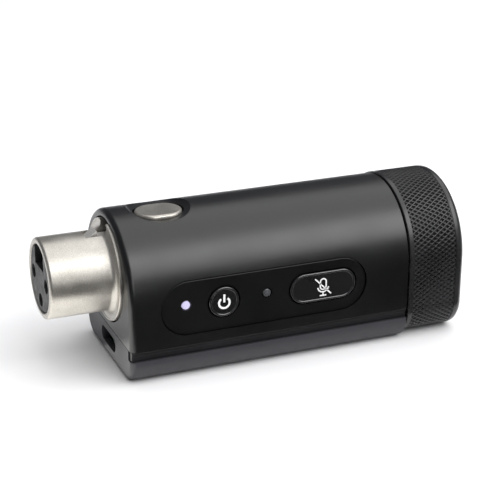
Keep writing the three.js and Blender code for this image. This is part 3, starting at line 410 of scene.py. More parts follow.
base_moulding = skinned(
    "base_moulding", (0.033, 0.032, 0.038), (0.042, 0.041, 0.048),
    grain=0.25 * MM, cloud=9 * MM, gloss=(0.42, 0.52), bump=0.010 * MM,
)
BODY_OUTLINE = arch_outline(BODY_RADIUS, BODY_DROP, BODY_CORNER)
SCREW_PLACES = [
    ((low + high) / 2) for low, high in (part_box(f"base_screw_{i}") for i in range(1, 5))
]


def shell_profile(front_wall, wall):
    """An open shell: rounded front edge, broken rear edge, then forward again along the inside."""
    return [
        *bend(FACE_X + EDGE_ROUND, EDGE_ROUND, EDGE_ROUND, 180, 270),
        (REAR_X - 0.12 * MM, 0), (REAR_X, 0.12 * MM),
        (REAR_X, wall), (FACE_X + front_wall, wall),
    ]


def flange_pocket():
    outline = disc_outline(FLANGE_RADIUS + FIT_GAP, 0, AXIS_Z, 160)
    return loft("cutter", outline, [(-FAR, 0), (POCKET_X, 0)], "x")


base_top = tray_low.z - SEAM_GAP
inside_x = FACE_X + BASE_WALL
base_shell = loft("base_shell", BODY_OUTLINE, shell_profile(BASE_WALL, BASE_WALL), "x")
carve(
    base_shell,
    block(-FAR, FAR, -FAR, FAR, base_high.z, FAR),
    block(inside_x, FAR, -FAR, FAR, base_top, FAR),
    block(-FAR, FAR, BASE_PANEL_HALF, FAR, base_top, FAR),
    block(-FAR, FAR, -FAR, -BASE_PANEL_HALF, base_top, FAR),
    flange_pocket(),
    loft(
        "cutter", stadium_outline(PORT_WIDTH + 0.2 * MM, PORT_HEIGHT - 0.1 * MM, 0, PORT_Z),
        [(-FAR, 0), (inside_x + MM, 0)], "x",
    ),
    *(
        loft("cutter", disc_outline(COUNTERBORE_RADIUS, at.x, at.y, 48), [(-FAR, 0), (COUNTERBORE, 0)], "z")
        for at in SCREW_PLACES
    ),
)
soften(base_shell, 0.10 * MM)
install(base_shell, "body", "base_moulding", base_moulding, "base_cover")

# ---------------------------------------------------------------- base screws
# Black-oxide pan-head screws with a cross recess sit in the base's counterbores and pull the
# base and the tray up against the housing's posts.
RECESS_ARM = 1.05 * MM
RECESS_HALF = 0.2 * MM
RECESS_DEPTH = 0.5 * MM
black_screw = skinned(
    "black_screw", (0.012, 0.012, 0.013), (0.030, 0.030, 0.032),
    grain=0.15 * MM, cloud=2 * MM, gloss=(0.30, 0.42), bump=0.004 * MM, metallic=0.6,
)
for number, at in enumerate(SCREW_PLACES, 1):
    low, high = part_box(f"base_screw_{number}")
    head = [
        (low.z, 0.9 * MM), (low.z, 0.5 * MM), *bend(low.z + 0.35 * MM, 0.35 * MM, 0.35 * MM, 180, 270, 4),
        (low.z + 1.1 * MM, 0), (low.z + 1.1 * MM, 0.9 * MM), (high.z - 0.3 * MM, 0.9 * MM),
        (high.z, 1.2 * MM),
    ]
    screw = loft(f"base_screw_{number}_fine", disc_outline(SCREW_HEAD_RADIUS, at.x, at.y, 48), head, "z")
    recess_top = low.z + RECESS_DEPTH
    carve(
        screw,
        *(
            block(at.x - along, at.x + along, at.y - aside, at.y + aside, -FAR, recess_top)
            for along, aside in ((RECESS_ARM, RECESS_HALF), (RECESS_HALF, RECESS_ARM))
        ),
    )
    soften(screw, 0.04 * MM)
    install(screw, "body", "black_screw", black_screw, f"base_screw_{number}")

# ---------------------------------------------------------------- chassis tray
# The tray is a black moulded plate between the two shells. Its edge, broken at the top and
# stepped at half height, shows as a dark strip along both sides.
WALL = 1.5 * MM
TRAY_STEP = 0.22 * MM
TRAY_BREAK = 0.15 * MM
tray_moulding = skinned(
    "tray_moulding", (0.006, 0.006, 0.007), (0.010, 0.010, 0.012),
    grain=0.25 * MM, cloud=8 * MM, gloss=(0.38, 0.48), bump=0.008 * MM,
)
middle = (tray_low.z + (tray_high.z - 0.2 * MM)) / 2
tray_top = housing_low.z - SEAM_GAP
wide, narrow = tray_high.y, tray_high.y - TRAY_STEP
edge = [
    (wide - TRAY_BREAK, tray_top), (wide, tray_top - TRAY_BREAK), (wide, middle + 0.08 * MM),
    (narrow, middle), (narrow, tray_low.z),
]
section = [*edge, *((-y, z) for y, z in reversed(edge))]
vertices = [(x, y, z) for x in (tray_low.x, tray_high.x) for y, z in section]
count = len(section)
faces = [(i, (i + 1) % count, (i + 1) % count + count, i + count) for i in range(count)]
faces += [tuple(range(count)), tuple(range(count, 2 * count))]
tray = solid("chassis_tray_fine", vertices, faces)


def opening_round(node, gap):
    low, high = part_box(node)
    return block(low.x - gap, high.x + gap, low.y - gap, high.y + gap, -FAR, FAR)


notch = BASE_PANEL_HALF + FIT_GAP
cap_low, cap_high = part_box("end_cap")
spigot_half = BODY_RADIUS - WALL
carve(
    tray,
    block(-FAR, inside_x + FIT_GAP, -notch, notch, -FAR, FAR),
    block(cap_low.x - 0.1 * MM, FAR, -spigot_half, spigot_half, -FAR, FAR),
    opening_round("usb_shell", FIT_GAP),
    opening_round("board_connector", FIT_GAP),
)
soften(tray, 0.06 * MM)
install(tray, "body", "tray_moulding", tray_moulding, "chassis_tray")

# ---------------------------------------------------------------- inside: boards and cell
# Green solder-masked boards, a shielded radio, a lithium cell in its black cradle, and the small
# connectors and switches. They are hidden by the shells, so their machined shapes stay.


def dress(material, *nodes):
    for node in nodes:
        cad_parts[node].data.materials.clear()
        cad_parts[node].data.materials.append(material)


circuit_board = skinned(
    "circuit_board", (0.010, 0.075, 0.030), (0.018, 0.110, 0.045),
    grain=0.4 * MM, cloud=3 * MM, gloss=(0.22, 0.34), bump=0.01 * MM,
)
plated_steel = skinned(
    "plated_steel", (0.42, 0.43, 0.45), (0.58, 0.58, 0.58),
    grain=0.12 * MM, cloud=2.5 * MM, gloss=(0.25, 0.40), bump=0.003 * MM, metallic=1.0,
)
cell_wrap = skinned(
    "cell_wrap", (0.16, 0.20, 0.28), (0.21, 0.25, 0.33),
    grain=0.6 * MM, cloud=6 * MM, gloss=(0.18, 0.30), bump=0.01 * MM,
)
connector_moulding = skinned(
    "connector_moulding", (0.66, 0.62, 0.52), (0.76, 0.72, 0.62),
    grain=0.2 * MM, cloud=2 * MM, gloss=(0.40, 0.55), bump=0.004 * MM,
)
connector_black = skinned(
    "connector_black", (0.012, 0.012, 0.012), (0.022, 0.022, 0.022),
    grain=0.2 * MM, cloud=2 * MM, gloss=(0.40, 0.55), bump=0.004 * MM,
)
led_package = skinned(
    "led_package", (0.70, 0.62, 0.30), (0.85, 0.78, 0.42),
    grain=0.1 * MM, cloud=0.8 * MM, gloss=(0.25, 0.35), bump=0.004 * MM,
)
dress(circuit_board, "main_board", "control_board", "connector_board", "antenna_board", "usb_board")
dress(
    plated_steel, "rf_shield", "power_switch", "mute_switch", "control_board_screw_1",
    "control_board_screw_2", "latch_pin", "latch_spring", "barrel_nut", "ground_washer",
)
dress(cell_wrap, "battery")
dress(tray_moulding, "battery_holder")
dress(connector_moulding, "battery_connector")
dress(connector_black, "board_connector")
dress(led_package, "status_led", "mute_led")

# ---------------------------------------------------------------- charging port
# A drawn steel shell with round ends stands just behind the base's end panel. A black tongue
# carries the contacts inside it.
# The port shell's steel is painted near-black, far darker than plated steel: painted shade for the dark
# opening of the port.
port_steel_painted_shade = skinned(
    "port_steel_painted_shade", (0.03, 0.03, 0.033), (0.06, 0.06, 0.065),
    grain=0.12 * MM, cloud=2 * MM, gloss=(0.30, 0.45), bump=0.003 * MM, metallic=1.0,
)
insert_moulding = skinned(
    "insert_moulding", (0.012, 0.012, 0.013), (0.032, 0.032, 0.034),
    grain=0.22 * MM, cloud=1.5 * MM, gloss=(0.40, 0.60), bump=0.020 * MM,
)
low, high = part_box("usb_shell")
port_wall = 0.3 * MM
port_shell = loft(
    "port_shell", stadium_outline(PORT_WIDTH, PORT_HEIGHT, 0, PORT_Z),
    [
        (high.x, 0), (low.x + 0.1 * MM, 0), (low.x, 0.08 * MM), (low.x, port_wall - 0.08 * MM),
        (low.x + 0.1 * MM, port_wall), (high.x - 1.2 * MM, port_wall),
    ], "x",
)
soften(port_shell, 0)
install(port_shell, "body", "plated_steel", port_steel_painted_shade, "usb_shell")
dress(insert_moulding, "usb_tongue")

# ---------------------------------------------------------------- upper housing
# The housing is a die-cast arch with a satin soft-touch coat. A shallow scoop in its roof holds
# the release button, and pockets in its end face and side take the socket and the panel.
FRONT_WALL = 3.2 * MM
SLEEVE_HOLE_RADIUS = 8.5 * MM
POCKET_GAP = 0.12 * MM
SCOOP_HALF = (6.37 * MM, 9.6 * MM, 2.5 * MM)
SCOOP_RISE = 0.65 * MM
LOWER_EDGE_ROUND = 0.14 * MM
housing_coating = skinned(
    "housing_coating", (0.0030, 0.0031, 0.0035), (0.0052, 0.0053, 0.0058),
    grain=0.22 * MM, cloud=12 * MM, gloss=(0.29, 0.36), bump=0.014 * MM, specular=0.7,
)
release_low, release_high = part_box("release_button")
RELEASE_X = (release_low.x + release_high.x) / 2
RELEASE_LIP = 0.7 * MM
RELEASE_LENGTH = release_high.x - release_low.x - 2 * RELEASE_LIP
RELEASE_WIDTH = release_high.y - release_low.y - 2 * RELEASE_LIP
panel_low, panel_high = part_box("control_panel")
PANEL_X = (panel_low.x + panel_high.x) / 2
PANEL_Z = (panel_low.z + panel_high.z) / 2
PANEL_LENGTH = panel_high.x - panel_low.x
PANEL_HEIGHT = panel_high.z - panel_low.z


def scoop():
    steps, rows = 128, 48
    vertices = []
    for row in range(1, rows):
        tilt = math.pi * row / rows
        for i in range(steps):
            turn = 2 * math.pi * i / steps
            vertices.append((
                RELEASE_X + SCOOP_HALF[0] * math.sin(tilt) * math.cos(turn),
                SCOOP_HALF[1] * math.sin(tilt) * math.sin(turn),
                housing_high.z + SCOOP_RISE + SCOOP_HALF[2] * math.cos(tilt),
            ))
    faces = []
    for row in range(rows - 2):
        a, b = row * steps, (row + 1) * steps
        faces += [(a + i, a + (i + 1) % steps, b + (i + 1) % steps, b + i) for i in range(steps)]
    faces += [tuple(range(steps)), tuple(range((rows - 2) * steps, (rows - 1) * steps))]
    return solid("cutter", vertices, faces)


housing = loft("housing_shell", BODY_OUTLINE, shell_profile(FRONT_WALL, WALL), "x")
carve(
    housing,
    block(-FAR, FAR, -FAR, FAR, -FAR, housing_low.z),
    scoop(),
    loft(
        "cutter", stadium_outline(RELEASE_LENGTH + 2 * FIT_GAP, RELEASE_WIDTH + 2 * FIT_GAP, RELEASE_X, 0),
        [(AXIS_Z, 0), (FAR, 0)], "z",
    ),
    flange_pocket(),
    loft(
        "cutter", disc_outline(SLEEVE_HOLE_RADIUS, 0, AXIS_Z, 128),
        [(-FAR, 0), (FACE_X + FRONT_WALL + MM, 0)], "x",
    ),
    loft(
        "cutter",
        stadium_outline(PANEL_LENGTH + 2 * POCKET_GAP, PANEL_HEIGHT + 2 * POCKET_GAP, PANEL_X, PANEL_Z, 48),
        [(-FAR, 0), (panel_high.y + 0.1 * MM, 0)], "y",
    ),
)
round_edges(
    housing, LOWER_EDGE_ROUND,
    lambda at: abs(at.z - housing_low.z) < 0.01 * MM and abs(at.y) > BODY_RADIUS - 0.01 * MM,
)
soften(housing, 0.10 * MM)
install(housing, "body", "housing_coating", housing_coating, "upper_housing")

# ---------------------------------------------------------------- audio socket
# The socket's barrel is turned brass with satin nickel plating: a plain nose, a dished shoulder
# and a flange. A slot along its top lets the latch tooth through.
NOSE_X = barrel_low.x
NOSE_RADIUS = 7.95 * MM
NOSE_ROUND = 0.6 * MM
BORE_INSET = 1.2 * MM
FILLET = 1.2 * MM
FLANGE_X = FACE_X - 0.35 * MM
FLANGE_BACK_X = FLANGE_X + 1.6 * MM
SLEEVE_STEP = 0.25 * MM
SLOT_HALF = 1.9 * MM
SLOT_FLOOR = 2.3 * MM
SLOT_LEAD = 0.25 * MM
satin_nickel = skinned(
    "satin_nickel", (0.36, 0.34, 0.305), (0.64, 0.615, 0.565),
    grain=0.16 * MM, cloud=7 * MM, gloss=(0.28, 0.38), bump=0.018 * MM, metallic=0.82,
)
flange_out = NOSE_RADIUS - FLANGE_RADIUS
barrel = loft(
    "socket_barrel", disc_outline(NOSE_RADIUS, 0, AXIS_Z, 192),
    [
        (barrel_high.x, BORE_INSET), (NOSE_X + 0.2 * MM, BORE_INSET), (NOSE_X, BORE_INSET - 0.2 * MM),
        *bend(NOSE_X + NOSE_ROUND, NOSE_ROUND, NOSE_ROUND, 180, 270),
        *bend(FLANGE_X - FILLET, -FILLET, FILLET, 90, 0, 10),
        (FLANGE_X, flange_out + 0.45 * MM), (FLANGE_X - 0.12 * MM, flange_out + 0.35 * MM),
        *bend(FLANGE_X + 0.03 * MM, flange_out + 0.2 * MM, 0.2 * MM, 180, 270, 5),
        (FLANGE_BACK_X, flange_out), (FLANGE_BACK_X, -SLEEVE_STEP), (barrel_high.x, -SLEEVE_STEP),
    ], "x", looped=True,
)
tooth_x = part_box("latch_lever")[0].x
carve(barrel, block(tooth_x - SLOT_LEAD, FAR, -SLOT_HALF, SLOT_HALF, AXIS_Z + SLOT_FLOOR, FAR))
soften(barrel, 0.07 * MM)
install(barrel, "body", "satin_nickel", satin_nickel, "xlr_barrel")

# ---------------------------------------------------------------- socket insert and contacts
# A glass-filled black moulding fills the barrel. It has a keyway under the latch and three
# countersunk holes, with a gold-flashed tube contact deep in each.
KEYWAY_HALF = 2.9 * MM
KEYWAY_RISE = 2.3 * MM
CONTACT_HOLE_RADIUS = 1.35 * MM
CONTACT_WELL_RADIUS = 1.65 * MM
HOLE_DEPTH = 1.5 * MM
contact_plating = skinned(
    "contact_plating", (0.55, 0.42, 0.16), (0.72, 0.58, 0.26),
    grain=0.1 * MM, cloud=1 * MM, gloss=(0.22, 0.35), bump=0.002 * MM, metallic=1.0,
)
seal_rubber = skinned(
    "seal_rubber", (0.006, 0.006, 0.006), (0.012, 0.012, 0.012),
    grain=0.2 * MM, cloud=2 * MM, gloss=(0.60, 0.75), bump=0.006 * MM,
)
low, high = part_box("xlr_insert")
INSERT_RADIUS = high.y
insert = loft(
    "socket_insert", disc_outline(INSERT_RADIUS, 0, AXIS_Z, 128),
    [(low.x + 0.12 * MM, 0.2 * MM), (low.x + 0.32 * MM, 0), (high.x, 0)], "x",
)
hole_cutters = []
for number in (1, 2, 3):
    hole_low, hole_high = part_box(f"xlr_contact_{number}")
    at = (hole_low + hole_high) / 2
    mouth = disc_outline(CONTACT_HOLE_RADIUS, at.y, at.z, 48)
    well = disc_outline(CONTACT_WELL_RADIUS, at.y, at.z, 48)
    hole_cutters += [
        loft("cutter", mouth, [(-FAR, 0), (NOSE_X + HOLE_DEPTH, 0)], "x"),
        loft("cutter", well, [(NOSE_X + MM, 0), (FAR, 0)], "x"),
    ]
carve(
    insert,
    block(-FAR, tooth_x - 2 * MM, -KEYWAY_HALF, KEYWAY_HALF, AXIS_Z + KEYWAY_RISE, FAR),
    block(tooth_x - 2.1 * MM, FAR, -SLOT_HALF, SLOT_HALF, AXIS_Z + KEYWAY_RISE + MM, FAR),
    *hole_cutters,
)
soften(insert, 0.09 * MM)
install(insert, "body", "insert_moulding", insert_moulding, "xlr_insert")
dress(contact_plating, "xlr_contact_1", "xlr_contact_2", "xlr_contact_3")
dress(seal_rubber, "flange_gasket")

# ---------------------------------------------------------------- latch lever
# A bright-plated steel lever runs under the roof. Its wedge-shaped tooth stands up through the
# barrel's slot and drops when the release button goes down.
latch_steel = skinned(
    "latch_steel", (0.66, 0.64, 0.61), (0.84, 0.82, 0.79),
    grain=0.14 * MM, cloud=3 * MM, gloss=(0.28, 0.38), bump=0.004 * MM, metallic=0.65,
)


def refined(node, name, width):
    """A copy of a machined node, its flats joined and its edges broken."""
    piece = bpy.data.objects.new(name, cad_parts[node].data.copy())
    bpy.context.scene.collection.objects.link(piece)
    work = bmesh.new()
    work.from_mesh(piece.data)
    bmesh.ops.remove_doubles(work, verts=work.verts, dist=0.001 * MM)
    bmesh.ops.dissolve_limit(work, angle_limit=math.radians(1), verts=work.verts, edges=work.edges)
    work.to_mesh(piece.data)
    work.free()
    soften(piece, width)
    return piece


latch = refined("latch_lever", "latch_lever_fine", 0.10 * MM)
install(latch, "latch_lever", "latch_steel", latch_steel, "latch_lever")

# ---------------------------------------------------------------- release button
# The release button is a nickel-plated pill with a broad rounded edge. A flange under the roof
# keeps it in.
RELEASE_ROUND = 0.60 * MM
lip_top = release_low.z + 0.6 * MM
release = loft(
    "release_pad", stadium_outline(RELEASE_LENGTH, RELEASE_WIDTH, RELEASE_X, 0, 48),
    [
        (release_low.z, 0), (release_low.z, -RELEASE_LIP), (lip_top, -RELEASE_LIP), (lip_top, 0),
        *bend(release_high.z - RELEASE_ROUND, RELEASE_ROUND, RELEASE_ROUND, -90, 0),
    ], "z",
)
soften(release, 0)
install(release, "release_button", "satin_nickel", satin_nickel, "release_button")

# ---------------------------------------------------------------- control panel
# The panel is a matte black film-faced plate with round ends, laid in the housing's side pocket.
# The buttons and light pipes come through it.
BUTTON_GAP = 0.28 * MM
panel_film = skinned(
    "panel_film", (0.0030, 0.0030, 0.0033), (0.0046, 0.0046, 0.0050),
    grain=0.2 * MM, cloud=10 * MM, gloss=(0.33, 0.42), bump=0.006 * MM,
)
power_low, power_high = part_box("power_button")
mute_low, mute_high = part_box("mute_button")
BUTTON_LIP = 0.45 * MM
POWER_X = (power_low.x + power_high.x) / 2
MUTE_X = (mute_low.x + mute_high.x) / 2
BUTTON_Z = (power_low.z + power_high.z) / 2
POWER_RADIUS = (power_high.x - power_low.x) / 2 - BUTTON_LIP
MUTE_LENGTH = mute_high.x - mute_low.x - 2 * BUTTON_LIP
MUTE_HEIGHT = mute_high.z - mute_low.z - 2 * BUTTON_LIP
LENS_RADIUS = 0.84 * MM
LENS_HOLE_RADIUS = 1.02 * MM
LENS_PLACES = {}
for name in ("status", "mute"):
    low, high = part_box(f"{name}_light_pipe")
    LENS_PLACES[name] = (low + high) / 2
face_y, panel_back_y = panel_low.y, panel_high.y
panel = loft(
    "panel_plate", stadium_outline(PANEL_LENGTH, PANEL_HEIGHT, PANEL_X, PANEL_Z, 64),
    [*bend(face_y + 0.12 * MM, 0.12 * MM, 0.12 * MM, 180, 270, 4), (panel_back_y, 0)], "y",
)
carve(
    panel,
    loft("cutter", disc_outline(POWER_RADIUS + BUTTON_GAP, POWER_X, BUTTON_Z), [(-FAR, 0), (0, 0)], "y"),
    loft(
        "cutter",
        stadium_outline(MUTE_LENGTH + 2 * BUTTON_GAP, MUTE_HEIGHT + 2 * BUTTON_GAP, MUTE_X, BUTTON_Z, 48),
        [(-FAR, 0), (0, 0)], "y",
    ),
    *(
        loft("cutter", disc_outline(LENS_HOLE_RADIUS, at.x, at.z, 48), [(-FAR, 0), (0, 0)], "y")
        for at in LENS_PLACES.values()
    ),
)
soften(panel, 0.06 * MM)
install(panel, "body", "panel_film", panel_film, "control_panel")

# ---------------------------------------------------------------- power and mute buttons
# Both are satin black moulded keys with a raised rim round a sunken face, and a white printed
# sign on the face. A flange behind the panel keeps each of them in.
RIM_ROUND = 0.28 * MM
FACE_SINK = 0.14 * MM
PRINT_THICK = 0.02 * MM
button_moulding = skinned(
    "button_moulding", (0.005, 0.005, 0.0055), (0.008, 0.008, 0.0085),
    grain=0.2 * MM, cloud=6 * MM, gloss=(0.24, 0.32), bump=0.004 * MM, specular=0.9, coat=0.9,
)
print_white = skinned(
    "print_white", (0.80, 0.80, 0.80), (0.90, 0.90, 0.90),
    grain=0.1 * MM, cloud=1 * MM, gloss=(0.45, 0.55), bump=0.002 * MM,
)
button_front = power_low.y
lip_y = panel_back_y + 0.2 * MM
key_profile = [
    (lip_y + 0.6 * MM, 0.5 * MM), (lip_y + 0.6 * MM, -BUTTON_LIP), (lip_y, -BUTTON_LIP), (lip_y, 0),
    *bend(button_front + RIM_ROUND, RIM_ROUND, RIM_ROUND, 270, 120, 12),
    (button_front + FACE_SINK, 2 * RIM_ROUND), (button_front + FACE_SINK, 1.5 * MM),
]
power_key = loft("power_key", disc_outline(POWER_RADIUS, POWER_X, BUTTON_Z), key_profile, "y")
soften(power_key, 0)
install(power_key, "power_button", "button_moulding", button_moulding, "power_button")
mute_key = loft(
    "mute_key", stadium_outline(MUTE_LENGTH, MUTE_HEIGHT, MUTE_X, BUTTON_Z, 48), key_profile, "y",
)
soften(mute_key, 0)
install(mute_key, "mute_button", "button_moulding", button_moulding, "mute_button")


def ribbon(path, width, looped=False):
    """Left and right edges of a printed stroke along a path of (x, z) points."""
    count = len(path)
    left, right = [], []
    for i, (x, z) in enumerate(path):
        before = path[i - 1] if looped or i else path[0]
        after = path[(i + 1) % count] if looped or i < count - 1 else path[-1]
        along = Vector((after[0] - before[0], after[1] - before[1])).normalized()
        left.append((x - along.y * width / 2, z + along.x * width / 2))
        right.append((x + along.y * width / 2, z - along.x * width / 2))
    return left, right


def printed(name, strokes, body):
    """White strokes, each a thin closed film on the sunken face of a button."""
    lower = button_front + FACE_SINK
    upper = lower - PRINT_THICK
    vertices, faces = [], []
    for path, width, looped in strokes:
        left, right = ribbon(path, width, looped)
        start, count = len(vertices), len(path)
        for (lx, lz), (rx, rz) in zip(left, right):
            vertices += [(lx, upper, lz), (rx, upper, rz), (rx, lower, rz), (lx, lower, lz)]
        for i in range(count if looped else count - 1):
            a, b = start + 4 * i, start + 4 * ((i + 1) % count)
            faces += [(a + k, a + (k + 1) % 4, b + (k + 1) % 4, b + k) for k in range(4)]
        if not looped:
            end = start + 4 * (count - 1)
            faces += [tuple(range(start, start + 4)), tuple(range(end, end + 4))]
    sign = solid(name, vertices, faces)
    soften(sign, 0, angle=40)
    install(sign, body, "button_moulding", print_white)


def arc_path(x, z, radius, start, end, steps=40):
    angles = [math.radians(start + (end - start) * i / steps) for i in range(steps + 1)]
    return [(x + radius * math.cos(a), z + radius * math.sin(a)) for a in angles]


SIGN_STROKE = 0.42 * MM
POWER_SIGN_RADIUS = 1.08 * MM
sign_z = BUTTON_Z - 0.22 * MM
printed("power_sign", [
    (arc_path(POWER_X, sign_z, POWER_SIGN_RADIUS, 128, 412), SIGN_STROKE, False),
    ([(POWER_X, sign_z + 0.1 * MM), (POWER_X, sign_z + 1.75 * MM)], SIGN_STROKE, False),
], "power_button")

# The mute sign is a plain microphone with a bar through it: capsule, yoke, stem and foot.
CAPSULE_HALF = 0.62 * MM
YOKE_RADIUS = 1.15 * MM
mic_z = BUTTON_Z + 0.45 * MM
capsule = [
    *arc_path(MUTE_X, mic_z + 0.5 * MM, CAPSULE_HALF, 0, 180, 20),
    *arc_path(MUTE_X, mic_z - 0.5 * MM, CAPSULE_HALF, 180, 360, 20),
]
printed("microphone_sign", [
    (capsule, 0.26 * MM, True),
    (arc_path(MUTE_X, mic_z - 0.5 * MM, YOKE_RADIUS, 188, 352, 28), 0.26 * MM, False),
    ([(MUTE_X, mic_z - 1.80 * MM), (MUTE_X, mic_z - 2.25 * MM)], 0.26 * MM, False),
    ([(MUTE_X - 0.7 * MM, mic_z - 2.38 * MM), (MUTE_X + 0.7 * MM, mic_z - 2.38 * MM)], 0.26 * MM, False),
    ([(MUTE_X - 1.75 * MM, mic_z + 1.25 * MM), (MUTE_X + 1.75 * MM, mic_z - 2.25 * MM)], 0.26 * MM, False),
], "mute_button")

# ---------------------------------------------------------------- light pipes
# Two clear moulded pipes carry the light to the panel: the status pipe shines lilac white, and
# the mute pipe is dark. Each ends in a low dome flush with the film.
pipe_lit = plain_surface("light_pipe_lit", (0.30, 0.28, 0.38), 0.3)
glow = pipe_lit.node_tree.nodes["Principled BSDF"]
shade = pipe_lit.node_tree.nodes.new("ShaderNodeValToRGB")
shade.color_ramp.elements[0].color = (0.46, 0.40, 0.80, 1)
shade.color_ramp.elements[1].color = (0.80, 0.78, 0.96, 1)
pipe_lit.node_tree.links.new(noise(pipe_lit.node_tree, 1200, 2, 0.5), shade.inputs["Fac"])
pipe_lit.node_tree.links.new(shade.outputs["Color"], glow.inputs["Emission Color"])
glow.inputs["Emission Strength"].default_value = 0.62
pipe_dark = skinned(
    "light_pipe_dark", (0.050, 0.053, 0.057), (0.085, 0.088, 0.092),
    grain=0.3 * MM, cloud=0.8 * MM, gloss=(0.12, 0.22), bump=0.004 * MM, coat=0.5,
)
for name, material, slot in (
    ("status", pipe_lit, "light_pipe_lit"), ("mute", pipe_dark, "light_pipe_dark"),
):
    low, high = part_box(f"{name}_light_pipe")
    at = LENS_PLACES[name]
    dome = [(low.y + 0.30 * MM * (1 - math.cos(a)), LENS_RADIUS * (1 - math.sin(a)))
            for a in (math.radians(6 + 84 * i / 8) for i in range(9))]
    pipe = loft(f"{name}_lens", disc_outline(LENS_RADIUS, at.x, at.z, 48), [*dome, (high.y, 0)], "y")
    soften(pipe, 0)
    install(pipe, "body", slot, material, f"{name}_light_pipe")

# ---------------------------------------------------------------- end cap
# The cap covers the antenna, so it is moulded in satin black plastic. A smooth collar and a
# rounded rim bound a band of diamond knurling, thin ridges round sunken pits.
CAP_GAP = 0.3 * MM
CAP_CORNER = 6.9 * MM
CAP_ROUND = 1.4 * MM
COLLAR = 1.0 * MM
RIM_LENGTH = 2.0 * MM
KNURL_ROWS = 6
KNURL_PITCH = 1.02 * MM
# Each diamond steps down from the ridges round it to a pit: (share of its size, depth).
KNURL_STEPS = ((1.0, 0.0), (0.80, 0.03 * MM), (0.15, 0.42 * MM))
EDGE_STEPS = [
    *((-share, depth) for share, depth in KNURL_STEPS),
    *((share, depth) for share, depth in reversed(KNURL_STEPS[1:])),
]
CAP_RADIUS = cap_high.y
CAP_X = REAR_X + CAP_GAP
END_X = cap_high.x
cap_moulding = skinned(
    "cap_moulding", (0.012, 0.012, 0.0125), (0.020, 0.020, 0.021),
    grain=0.22 * MM, cloud=6 * MM, gloss=(0.22, 0.32), bump=0.004 * MM, specular=0.6,
)


def cap_section():
    """The cap's section as stretches of (length, function from distance to place and normal)."""
    low = ARC_Z - BODY_DROP + CAP_CORNER
    side = CAP_RADIUS - CAP_CORNER

    def turn(y, z, radius, start):
        def at(distance):
            angle = start + distance / radius
            normal = (math.cos(angle), math.sin(angle))
            return y + radius * normal[0], z + radius * normal[1], *normal
        return at

    def run(y, z, dy, dz, normal):
        return lambda distance: (y + dy * distance, z + dz * distance, *normal)

    return [
        (math.pi * CAP_RADIUS, turn(0, ARC_Z, CAP_RADIUS, 0)),
        (ARC_Z - low, run(-CAP_RADIUS, ARC_Z, 0, -1, (-1, 0))),
        (math.pi / 2 * CAP_CORNER, turn(-side, low, CAP_CORNER, math.pi)),
        (2 * side, run(-side, low - CAP_CORNER, 1, 0, (0, -1))),
        (math.pi / 2 * CAP_CORNER, turn(side, low, CAP_CORNER, 1.5 * math.pi)),
        (ARC_Z - low, run(CAP_RADIUS, low, 0, 1, (1, 0))),
    ]


cap_stretches = cap_section()
cap_perimeter = sum(length for length, _ in cap_stretches)
diamonds = round(cap_perimeter / KNURL_PITCH)


def on_cap(x, turns, inset):
    """A point on the cap, turns being in pitches round its section."""
    distance = (turns / diamonds % 1) * cap_perimeter
    for length, at in cap_stretches:
        if distance <= length:
            y, z, ny, nz = at(distance)
            return x, y - ny * inset, z - nz * inset
        distance -= length
    y, z, ny, nz = cap_stretches[-1][1](cap_stretches[-1][0])
    return x, y - ny * inset, z - nz * inset


band_x0 = CAP_X + COLLAR
band_x1 = END_X - RIM_LENGTH
row_pitch = (band_x1 - band_x0) / KNURL_ROWS
cap_vertices = []
cap_faces = []
shared = {}


def cap_point(half_turn, half_row, inset):
    """Index of a knurl vertex. Both places are in half pitches; the same place is made once."""
    key = (round(half_turn % (2 * diamonds), 4), round(half_row, 4), inset)
    if key not in shared:
        shared[key] = len(cap_vertices)
        cap_vertices.append(on_cap(band_x0 + row_pitch * half_row / 2, half_turn / 2, inset))
    return shared[key]


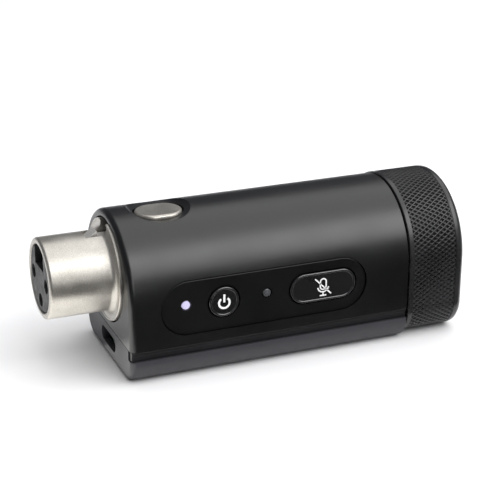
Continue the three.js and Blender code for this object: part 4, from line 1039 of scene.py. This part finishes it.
last_row = 2 * KNURL_ROWS
for row in range(last_row + 1):
    for i in range(2 * diamonds):
        if (i + row) % 2 == 0:
            continue
        around = [(-1, 0), (0, 1), (1, 0), (0, -1)]
        if row == 0:
            around = [(-1, 0), (0, 1), (1, 0)]
        if row == last_row:
            around = [(1, 0), (0, -1), (-1, 0)]
        rings = [
            [cap_point(i + a * share, row + b * share, depth) for a, b in around]
            for share, depth in KNURL_STEPS
        ]
        sides = len(around) if len(around) == 4 else len(around) - 1
        for outer, inner in zip(rings, rings[1:]):
            for k in range(sides):
                after = (k + 1) % len(around)
                cap_faces.append((outer[k], outer[after], inner[after], inner[k]))
        cap_faces.append(tuple(rings[-1]))


def cap_ring(x, inset):
    """A smooth ring whose points line up with the knurl's edge."""
    start = len(cap_vertices)
    for k in range(diamonds):
        for share, _ in EDGE_STEPS:
            cap_vertices.append(on_cap(x, (2 * k + 1 + share) / 2, inset))
    return list(range(start, len(cap_vertices)))


def band_edge(row):
    return [cap_point(2 * k + 1 + share, row, depth) for k in range(diamonds) for share, depth in EDGE_STEPS]


def stitch(first, second):
    count = len(first)
    cap_faces.extend(
        (first[i], first[(i + 1) % count], second[(i + 1) % count], second[i]) for i in range(count)
    )


CAP_WALL = 2.1 * MM
INNER_INSET = CAP_WALL + 1.1 * MM
RIM_GROOVE = 0.12 * MM
front_rings = [
    cap_ring(x, inset) for x, inset in (
        (cap_low.x, INNER_INSET), (cap_low.x, CAP_WALL), (CAP_X, CAP_WALL),
        *bend(CAP_X + 0.2 * MM, 0.2 * MM, 0.2 * MM, 180, 270, 4),
        (band_x0 - 0.02 * MM, 0),
    )
]
rear_rings = [
    cap_ring(x, inset) for x, inset in (
        (band_x1 + 0.02 * MM, RIM_GROOVE), (band_x1 + 0.12 * MM, RIM_GROOVE), (band_x1 + 0.18 * MM, 0),
        *bend(END_X - CAP_ROUND, CAP_ROUND, CAP_ROUND, 270, 360, 10),
    )
]
inner_ring = cap_ring(END_X - 2 * MM, INNER_INSET)
for rings in (front_rings, rear_rings):
    for first, second in zip(rings, rings[1:]):
        stitch(first, second)
stitch(front_rings[-1], band_edge(0))
stitch(band_edge(last_row), rear_rings[0])
stitch(front_rings[0], inner_ring)
cap_faces.append(tuple(rear_rings[-1]))
cap_faces.append(tuple(inner_ring))
cap = solid("antenna_cap", cap_vertices, cap_faces)
soften(cap, 0, angle=30)
install(cap, "body", "cap_moulding", cap_moulding, "end_cap")
